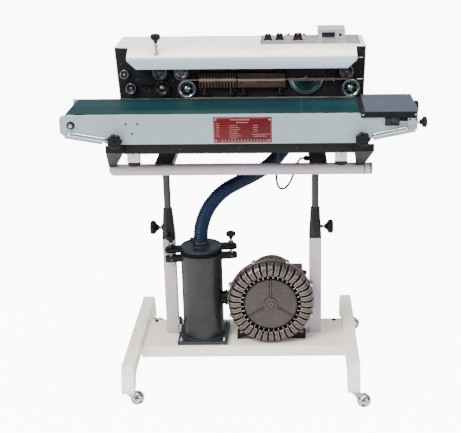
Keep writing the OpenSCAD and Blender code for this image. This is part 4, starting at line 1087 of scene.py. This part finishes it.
def make_lift_parts(hose, cable):
    """Rail plugs, welds, screws, glands and rubber collars of the part that is raised and lowered."""
    rails_low, rails_high = low("rails"), high("rails")
    z = mid("rails").z
    rows = (rails_low.y + 16, rails_high.y - 16)
    bands = grid((rails_high.x - 22, rails_high.x - 5), rows, [z], RIGHT)
    piece("rail_plug_rings", ring(15.5, 16.7, -1, 1), "lift", "rubber", bands)
    plug = lathe([(13, -0.5), (13, 0.4), (11, 0.9), (4, 0.9), (3, 0)])
    piece("rail_plug_faces", plug, "lift", "rubber", grid([rails_high.x], rows, [z], RIGHT))
    seams = grid([rails_low.x + 16], rows, [z], RIGHT)
    piece("rail_end_welds", ring(15.6, 16.5, -1.3, 1.3), "lift", "rail_paint", seams)

    top = high("lift_arms").z
    poles = [joint_at(name)[0] for name in CLAMPS]
    beads = [weld_bead(circle(Vector((p.x, p.y, top - 4.6)), 10.6, 16), 1.5) for p in poles]
    piece("pole_welds", joined(*beads), "lift", "arm_paint")
    bolts = grid([p.x + dx for p in poles for dx in (-12, 24)], rows, [top])
    piece("cross_arm_bolts", hex_bolt(4.4, 3.6), "lift", "bolt_dark", bolts)

    arm_nut = lathe([(8.6, 0), (8.6, 4)], 6)
    arm_sleeve = lathe([(6.4, 0), (5.8, 5.6), (4, 7)], 28)
    base_gland = lathe([(8, 0), (8, 5), (6, 6), (5.4, 11), (4, 12)], 6)
    piece("cable_glands", joined(
        moved(arm_nut, at(cable[0] + Vector((9, 0, 0)), LEFT)),
        moved(arm_sleeve, at(cable[0] + Vector((5, 0, 0)), LEFT)),
        moved(base_gland, at(cable[-1], DOWN))
    ), "lift", "black_plastic")
    lean = (hose[-1] - hose[-6]).normalized()
    hose_clip("hose_clip_upper", "lift", hose[-1] + lean * 6, lean)

    base_low, base_high = low("machine_base"), high("machine_base")
    size = base_high - base_low
    height = base_high.z - 14
    screw_xs = [base_low.x + size.x * t for t in (0.04, 0.27, 0.5, 0.73, 0.96)]
    screws = grid(screw_xs, [base_low.y], [height], FRONT)
    for y in [base_low.y + size.y * t for t in (0.12, 0.88)]:
        screws += [at((base_low.x, y, height), LEFT), at((base_high.x, y, height), RIGHT)]
    piece("base_screws", pan_screw(2.8), "lift", "bolt_dark", screws)
    leg_xs = (base_low.x + 42, base_high.x - 59)
    screws = grid(leg_xs, [y - 16 for y in rows], [base_high.z - 50], FRONT)
    piece("leg_screws", pan_screw(2.6), "lift", "bolt_zinc", screws)
    pads = [(x, y, z + 25) for x in leg_xs for y in rows]
    piece("leg_pad_collars", ring(9, 17.4, -9.6, -3, 40), "lift", "rubber", pads)

    for side in ("left", "right"):
        p, _ = joint_at("star_" + side + "_turn")
        piece("bracket_nut_" + side, lathe([(8, 0), (8, 3)], 6), "conveyor", "bolt_dark",
              [at((p.x, -184.5, p.z + 2), REAR)])
    feet = grid((-360, 310), [rails_low.y + 10], [rails_high.z + 3])
    piece("bracket_foot_bolts", socket_screw(4, 4), "lift", "bolt_dark", feet)


# ---- Conveyor ----

def make_data_plate(front):
    """A red plate with a border and bars in place of lettering, held by four rivets."""
    x0, x1, z0, z1 = -77, 74, 742, 810
    face = front - 0.8
    piece("data_plate", block((x0, face, z0), (x1, front, z1), 0.6), "conveyor", "plate_red")
    marks = []

    def bar(left, bottom, right, top):
        marks.append(block((left, face - 0.12, bottom), (right, face + 0.05, top), 0.03, 1))

    def line(x, z, count, height, gap, limit):
        """A line of up to count bars of uneven width that stops at the limit."""
        for k in range(count):
            width = (9, 6, 8, 5, 9, 7, 6, 9, 5, 8)[(k * 3 + int(z)) % 10] * height / 3.4
            if x + width > limit:
                return
            bar(x, z, x + width, z + height)
            x += width + gap

    near, far = 2.2, 2.9
    bar(x0 + near, z0 + near, x1 - near, z0 + far)
    bar(x0 + near, z1 - far, x1 - near, z1 - near)
    bar(x0 + near, z0 + near, x0 + far, z1 - near)
    bar(x1 - far, z0 + near, x1 - near, z1 - near)
    line(-33, 801.6, 7, 2.6, 1.6, 40)
    line(-18, 794.6, 5, 2.2, 1.5, 34)
    for row in range(7):
        z = 787.4 - row * 5.6
        line(-70, 793 - row * 5.6, 2, 1.5, 1.2, -44)
        line(-36, z, 5 + row % 3, 1.4, 1.3, 20)
        if row < 4:
            line(26, z, 3, 1.4, 1.3, 66)
    bar(22, 764, 70, 764.9)
    line(26, 758.2, 6, 2.0, 1.6, 70)
    for k in range(15):
        bar(-56 + k * 8.2, 747, -52.6 + k * 8.2, 749.8)
    piece("data_plate_marks", joined(*marks), "conveyor", "plate_print")
    rivet = lathe([(1.9, 0), (1.7, 0.7), (1, 1.1), (0, 1.2)], 18)
    corners = grid((x0 + 6.5, x1 - 6.5), [face], (z0 + 6.5, z1 - 6.5), FRONT)
    piece("data_plate_rivets", rivet, "conveyor", "bolt_zinc", corners)


def make_conveyor_parts():
    """Plate, screws, belt seam, hems, slide block and tension channel of the conveyor."""
    front, rear = -190, -17
    make_data_plate(front)
    screws = [at((x, front, z), FRONT) for x, z in ((-303, 793), (-273, 793), (-288, 768))]
    piece("panel_screws", pan_screw(2.7), "conveyor", "bolt_dark", screws)
    strip_screws = grid((309, 444), [low("infeed_table").y + 2], [814.5], FRONT)
    piece("infeed_strip_screws", pan_screw(2.6), "conveyor", "bolt_zinc", strip_screws)
    table_screws = grid((342, 441), [-12], [high("infeed_table").z - 0.3])
    piece("infeed_table_screws", pan_screw(2.4), "conveyor", "bolt_zinc", table_screws)

    belt_low, belt_high = low("conveyor_belt"), high("conveyor_belt")
    top = belt_high.z
    seam = block((150.4, belt_low.y + 0.5, top - 0.2), (151.8, belt_high.y - 0.5, top + 0.05), 0.03, 1)
    piece("belt_seam", seam, "conveyor", "seam_green")

    p, _ = joint_at("drive_roller_spin")
    place = at((p.x, front - 0.1, p.z), FRONT)
    piece("drive_washer", ring(6.2, 10.7, 0, 0.9, 32), "conveyor", "bolt_dark", [place])
    place = at((p.x, low("drive_roller").y, p.z), FRONT)
    piece("drive_bolt", hex_bolt(3.4, 2.6), "drive_roller", "bolt_zinc", [place])
    axle, _ = joint_at("idler_roller_spin")
    plates = [block((x0, front - 7.8, 789), (x1, front - 7, 803), 0.4, 1)
              for x0, x1 in ((368, 380), (393, 401.5))]
    collar = moved(ring(5.3, 7.6, 0, 0.8, 32), at((axle.x, front - 7, axle.z), FRONT))
    piece("axle_block_faces", joined(*plates, collar), "conveyor", "rubber")
    # A near-black block in the tension screw's channel: painted shade.
    channel = block((402.7, front - 6.4, 798.6), (423.8, front, 805.6), 0.5)
    piece("tension_channel", channel, "conveyor", "gap_painted_shade")

    rolls = []
    for a, b in (((-457, 769), (-353, 750.5)), ((333, 758), (428, 778))):
        a, b = (Vector((x, front, z)) for x, z in (a, b))
        spine = [a + (b - a) * k / 32 for k in range(33)]
        rolls.append(tube(spine, lambda t: 7 * min(1, 14 * min(t, 1 - t) + 0.3)))
    piece("rolled_hems", joined(*rolls), "conveyor", "hem_steel")
    screws = grid((-380, -200, 0, 200, 325), [rear], (812, 796), REAR)
    piece("rear_panel_screws", pan_screw(2.5), "conveyor", "bolt_dark", screws)
    blocks = grid((429, 445), [-199], [802], FRONT) + grid((421, 437), [-6], [795], REAR)
    piece("tension_block_screws", socket_screw(2.4, 2), "conveyor", "bolt_dark", blocks)


# ---- Sealing head ----

def make_wheel(node, r, tyre, web, nut, spokes=0, cone=False):
    """A wheel with a tyre, a dished or spoked web and a nutted hub, in place of a CAD wheel."""
    body = BODY_OF[node]
    depth = 10
    place = [at((HINGE_OF[node].x, -5, HINGE_OF[node].z), FRONT)]
    wall = 0.78 * r
    rim = hoop([
        (wall, 0.3), (r - 0.3, 0), (r, 0.4), (r, depth - 0.4), (r - 0.4, depth), (0.93 * r, depth),
        (0.90 * r, depth - 0.8), (0.84 * r, depth - 0.6), (wall, depth - 1.6)
    ], 64)
    piece(node + "_rim", rim, body, tyre, place, 30, node)
    if spokes:
        arm = block((0.2 * r, -0.11 * r, 2), (0.81 * r, 0.11 * r, 6.4), 0.9)
        disc = joined(copies(arm, [spin(360 * k / spokes) for k in range(spokes)]),
                      ring(0.66 * r, 0.79 * r, 1.2, 7.6, 56), ring(0.10 * r, 0.40 * r, 1, 7.4, 40))
    else:
        disc = lathe([(wall + 0.2, 0.8), (wall + 0.2, 6.2), (0.72 * r, 7.2), (0.66 * r, 6.2), (0.46 * r, 5.4),
                      (0.40 * r, 6.8)], 56)
    piece(node + "_web", disc, body, web, place)
    hub = lathe([(4, -35), (4, 0.8), (0.30 * r, 0.8), (0.30 * r, 8), (0.26 * r, 8.6)], 36)
    if cone:
        nose = lathe([(0.42 * r, 8.4), (0.40 * r, 10), (0.16 * r, 14.5), (0.10 * r, 15)], 32)
    else:
        nose = joined(lathe([(0.24 * r, 8.4), (0.24 * r, 10.4), (0.20 * r, 11)], 6),
                      lathe([(0.11 * r, 10.8), (0.11 * r, 12.2), (0.08 * r, 12.6)], 20))
    piece(node + "_hub", joined(hub, nose), body, nut, place, 30)
    if not spokes:
        # Dark discs for the holes in the dished web: painted shade.
        dot = moved(lathe([(0.085 * r, -1), (0.085 * r, 0.35)], 18), (0.56 * r, 0, 5.7))
        dots = copies(dot, [Matrix.Rotation(math.pi * k / 2 + 0.4, 4, "Z") for k in range(4)])
        piece(node + "_holes", dots, body, "gap_painted_shade", place)


def make_head_parts():
    """Wheels, guide disc, springs, shelves, guides and screws of the sealing head."""
    for node, r, tyre, web, nut, spokes, cone in (
        ("upper_band_wheel_left", 19, "wheel_grey", "wheel_grey", "wheel_grey", 0, False),
        ("upper_band_wheel_right", 19, "wheel_grey", "wheel_dark", "wheel_grey", 0, False),
        ("lower_band_wheel_left", 24, "wheel_rim", "wheel_teal", "wheel_rim", 5, False),
        ("lower_band_wheel_right", 24, "wheel_rim", "wheel_teal", "wheel_rim", 5, False),
        ("emboss_wheel_upper", 19.5, "wheel_grey", "wheel_dark", "wheel_grey", 0, False),
        ("emboss_wheel_lower", 20, "wheel_dark", "wheel_dark", "wheel_grey", 0, True),
        ("exit_pulley_upper", 12, "wheel_rim", "wheel_dark", "wheel_rim", 0, False),
        ("exit_pulley_lower", 14, "wheel_rim", "wheel_dark", "wheel_rim", 0, False),
    ):
        make_wheel(node, r, tyre, web, nut, spokes, cone)

    node = "guide_disc"
    place = [at((HINGE_OF[node].x, 1.4, HINGE_OF[node].z), FRONT)]
    dish = lathe([
        (4, -28), (4, 0), (46.4, 0.9), (47, 1.5), (47, 5.2), (46.2, 5.8), (43, 5.8), (41.5, 5.3), (36.5, 3.6),
        (36, 4.1), (34.6, 4.1), (34, 3), (28, 2.9), (27.6, 3.5), (26.4, 3.5), (26, 2.9), (18, 2.9), (15, 4.6),
        (0, 4.9)
    ], 72)
    piece("guide_disc_dish", dish, node, "disc_teal", place, 30, node)
    edge = hoop([(44, 5.4), (46.8, 5.4), (47.1, 5.9), (46.4, 6.5), (44.4, 6.2)], 72)
    piece("guide_disc_edge", edge, node, "wheel_rim", place)
    cap = lathe([(9, 4.6), (8.4, 7), (5.6, 7.4), (5.6, 10.4), (4.8, 11)], 6)
    piece("guide_disc_nut", cap, node, "wheel_grey", place)

    # A black plate over the guide disc's upper half: painted shade there, shaped as a guard on two posts.
    piece("disc_shade_plate", block((110, -6.9, 873), (220, -5.9, 904), 0.4), "lift", "black_steel")
    posts = grid((113, 217), [2], (877, 900), FRONT)
    piece("disc_shade_plate_posts", lathe([(2.2, 0), (2.2, 9.4), (1.4, 10)], 6), "lift", "bolt_dark", posts)

    blocks = (-110, -39, -5, 94)
    piece("block_springs", coil(3.4, 0.5, 15, 7), "lift", "bolt_dark", grid(blocks, [-10], (833, 889)))
    shelf = joined(block((-7, -14.5, 830.5), (7, 2, 833), 0.4), block((-7, -14.5, 903), (7, 2, 905.5), 0.4),
                   block((-7, -0.5, 824), (7, 2, 833), 0.4))
    piece("block_shelves", shelf, "lift", "bolt_dark", [(x, 0, 0) for x in blocks])
    screws = grid((-12, 101), [-15], (861.5, 881), FRONT)
    piece("block_screws", socket_screw(2.6, 2.2), "lift", "bolt_dark", screws)
    # Bright strips along the blocks at the nip: painted highlights.
    strips = [block((a, -15.35, z), (b, -14.9, z + 1.1), 0.1, 1) for a, b in ((-125, -24), (-20, 109))
              for z in (871.1, 867.8)]
    piece("block_highlight_strips", joined(*strips), "lift", "brass_painted_highlight")
    guide = block((118, -14.2, 0), (244, -13.2, 1), 0.3, 1)
    piece("infeed_guides", guide, "lift", "bolt_zinc", [(0, 0, 872.4), (0, 0, 866.6)])
    posts = grid((124, 240), [2], (872.9, 867.1), FRONT)
    piece("infeed_guide_posts", lathe([(1.8, 0), (1.8, 15.6)], 14), "lift", "bolt_dark", posts)

    screws = [at((x, 2, z), FRONT) for x, z in (
        (-336, 912), (-330, 832), (-296, 868), (-262, 838), (-196, 866), (-98, 838), (-30, 838), (36, 838),
        (118, 838), (214, 838), (242, 858), (312, 944), (314, 886), (312, 830), (-200, 898), (130, 898),
        (238, 900)
    )]
    piece("plate_screws", pan_screw(2.7), "lift", "bolt_dark", screws)
    tick = block((305, 1.4, 0.2), (320.5, 2.4, 1.8), 0.2, 1)
    piece("plate_ticks", tick, "lift", "white_mark", [(0, 0, 925), (0, 0, 866)])
    slope = Matrix.Translation((0, -18, 947.65)) @ Matrix.Rotation(math.radians(26.7), 4, "X")
    # A near-black bar for the slot in the hood's slope: painted shade.
    piece("hood_slot", block((218, -0.7, -0.2), (230, 0.7, 0.35), 0.2, 1), "lift", "gap_painted_shade", [slope])
    rear = grid((-320, -160, 0, 160, 300), [high("head_box").y], (748, 946), REAR)
    piece("head_rear_screws", pan_screw(2.8), "lift", "bolt_dark", rear)


def make_control_parts():
    """Rivets, dials, lamps and the counter box's window and button."""
    near, far = low("control_panel"), high("control_panel")
    top = high("counter_box").z - 29
    left, right, front, rear = near.x + 5, far.x - 5, near.y + 4, far.y - 4
    across, along = 19, 8
    rivets = grid([left + (right - left) * k / across for k in range(across + 1)], (front, rear), [top])
    rivets += grid((left, right), [front + (rear - front) * k / along for k in range(1, along)], [top])
    piece("control_rivets", lathe([(1.9, 0), (1.7, 0.5), (1, 0.9), (0, 1)], 14), "lift", "bolt_dark", rivets)
    ticks = []
    for node, joint, r, h, marks in (
        ("power_switch", "power_turn", 12, 17, 5), ("heater_switch", "heater_turn", 12, 17, 5),
        ("speed_dial", "speed_turn", 14, 18, 13)
    ):
        p, _ = joint_at(joint)
        middle, raised = Vector((p.x, p.y, top)), Vector((p.x, p.y, top + 0.4))
        tick = block((r + 2.5, -0.35, -0.1), (r + 5.5, 0.35, 0.15), 0.04, 1)
        turns = [spin(-45 + 270 * k / (marks - 1)) for k in range(marks)]
        ticks.append(copies(tick, [Matrix.Translation(middle) @ turn for turn in turns]))
        line = block((-0.6, -r + 0.2, h - 0.2), (0.6, -1.5, h + 0.15), 0.05, 1)
        piece(node + "_pointer", line, node, "white_mark", [raised])
        skirt = lobed([(r, 0, 1), (r, 2.6, 1), (r - 1, 3.4, 0.4)], 28, 0.5, 112)
        piece(node + "_skirt", skirt, node, "black_plastic", [raised])
        piece(node + "_bezel", ring(r + 0.3, r + 1.6, 0, 0.7), "lift", "bolt_zinc", [middle])
    piece("control_ticks", joined(*ticks), "lift", "black_plastic")
    lamps = [(119, 143, top), (162, 146, top)]
    piece("lamp_bezels", ring(4.9, 7, 0, 2.2, 36), "lift", "bolt_zinc", lamps)
    lens = lathe([(5.1, 1), (5.1, 6.2), (4.6, 7.6), (3, 8.8), (0, 9.3)], 30)
    piece("lamp_lenses", lens, "lift", "lamp_red", lamps)

    near, far = low("counter_box"), high("counter_box")
    window = near.y
    z = mid("counter_box").z
    glass = block((214, window - 0.5, z - 4.2), (244, window + 0.5, z + 5.2), 0.4)
    piece("counter_window", glass, "lift", "display")
    bars = [block((x0, window - 1.1, z + z0), (x1, window + 1, z + z1), 0.3, 1) for x0, x1, z0, z1 in (
        (211, 247, 5.6, 7.4), (211, 247, -6.4, -4.6), (211, 213, -6, 7), (245, 247, -6, 7))]
    piece("counter_bezel", joined(*bars), "lift", "black_plastic")
    feet = grid([206 + 7.2 * k for k in range(10)], [window + 3], [near.z + 3.2], FRONT)
    piece("counter_studs", lathe([(1.3, 0), (1.2, 0.6), (0, 0.8)], 12), "lift", "bolt_dark", feet)
    button = lathe([(3.4, 0), (3.4, 2.2)], 24, soft=0.6)
    piece("counter_button", button, "lift", "bolt_dark", [at((262, window, z + 0.5), FRONT)])
    piece("counter_lid_screws", pan_screw(1.9), "lift", "bolt_zinc", grid((206, 271), (90, 156), [far.z]))
    # A near-black line along the lid's seam: painted shade in the joint.
    seam = block((near.x - 0.3, window + 3.7, far.z - 2.6), (far.x + 0.3, far.y + 0.3, far.z - 1.9), 0.2, 1)
    piece("counter_seam", seam, "lift", "gap_painted_shade")


# ---- Floor and light ----

def seen_by_camera(tree, seen, other):
    """A value for what the camera sees, and another (a number or a socket) for what lights the object."""
    path = tree.nodes.new("ShaderNodeLightPath")
    choose = tree.nodes.new("ShaderNodeMix")
    choose.inputs["B"].default_value = seen
    if isinstance(other, (int, float)):
        choose.inputs["A"].default_value = other
    else:
        tree.links.new(other, choose.inputs["A"])
    tree.links.new(path.outputs["Is Camera Ray"], choose.inputs["Factor"])
    return choose.outputs["Result"]


def make_floor():
    """A floor that looks white to the camera and takes the object's shadow."""
    bm = bmesh.new()
    bmesh.ops.create_grid(bm, x_segments=1, y_segments=1, size=14)
    mesh = bpy.data.meshes.new("floor")
    bm.to_mesh(mesh)
    bm.free()
    floor = bpy.data.objects.new("floor", mesh)
    scene.collection.objects.link(floor)
    s = Shader("floor")
    s.link(seen_by_camera(s.tree, 9.0, 0.0), s.bsdf.inputs["Emission Strength"])
    s.bsdf.inputs["Emission Color"].default_value = (1, 1, 1, 1)
    s.finish(s.mix(s.noise(3), (0.90, 0.90, 0.90), (0.88, 0.88, 0.885)), 0.8)
    mesh.materials.append(s.material)


def make_world():
    """A white studio: bright behind the object, and brighter from above than from the horizon."""
    world = bpy.data.worlds.new("studio")
    world.use_nodes = True
    tree = world.node_tree
    back = tree.nodes["Background"]
    direction = tree.nodes.new("ShaderNodeTexCoord")
    split = tree.nodes.new("ShaderNodeSeparateXYZ")
    height = tree.nodes.new("ShaderNodeMapRange")
    height.interpolation_type = "SMOOTHSTEP"
    for name, value in (("From Min", 0.02), ("From Max", 0.7), ("To Min", 0.16), ("To Max", 0.75)):
        height.inputs[name].default_value = value
    tree.links.new(direction.outputs["Generated"], split.inputs["Vector"])
    tree.links.new(split.outputs["Z"], height.inputs["Value"])
    back.inputs["Color"].default_value = (0.93, 0.96, 1.0, 1)
    tree.links.new(seen_by_camera(tree, 11.0, height.outputs["Result"]), back.inputs["Strength"])
    scene.world = world


def make_lights():
    """Five area lamps that point at the object."""
    for name, place, size, power, color in (
        ("key", (-1.9, -2.2, 3.0), 1.5, 200, (1.0, 0.985, 0.95)),
        ("fill", (2.6, -2.6, 1.5), 1.6, 60, (0.95, 0.97, 1.0)),
        ("low", (-2.3, -1.5, 0.42), 1.2, 26, (1.0, 0.98, 0.94)),
        ("top", (0.2, -0.2, 3.4), 2.0, 150, (1.0, 0.99, 0.96)),
        ("rim", (2.4, 2.6, 1.2), 1.6, 25, (0.95, 0.97, 1.0)),
    ):
        light = bpy.data.lights.new(name, "AREA")
        light.size = size
        light.energy = power
        light.color = color
        lamp = bpy.data.objects.new(name, light)
        scene.collection.objects.link(lamp)
        lamp.matrix_world = Matrix.Translation(place) @ towards(Vector(place) - Vector((0, 0, 0.5)))


make_camera()
make_materials()
hose_path = make_hose()
cable_path = make_cable()
dress_nodes()
repaint_nodes()
make_knobs()
make_blower_cover()
make_motor_parts()
make_canister_parts()
make_stand_parts()
make_lift_parts(hose_path, cable_path)
make_conveyor_parts()
make_head_parts()
make_control_parts()
make_floor()
make_world()
make_lights()
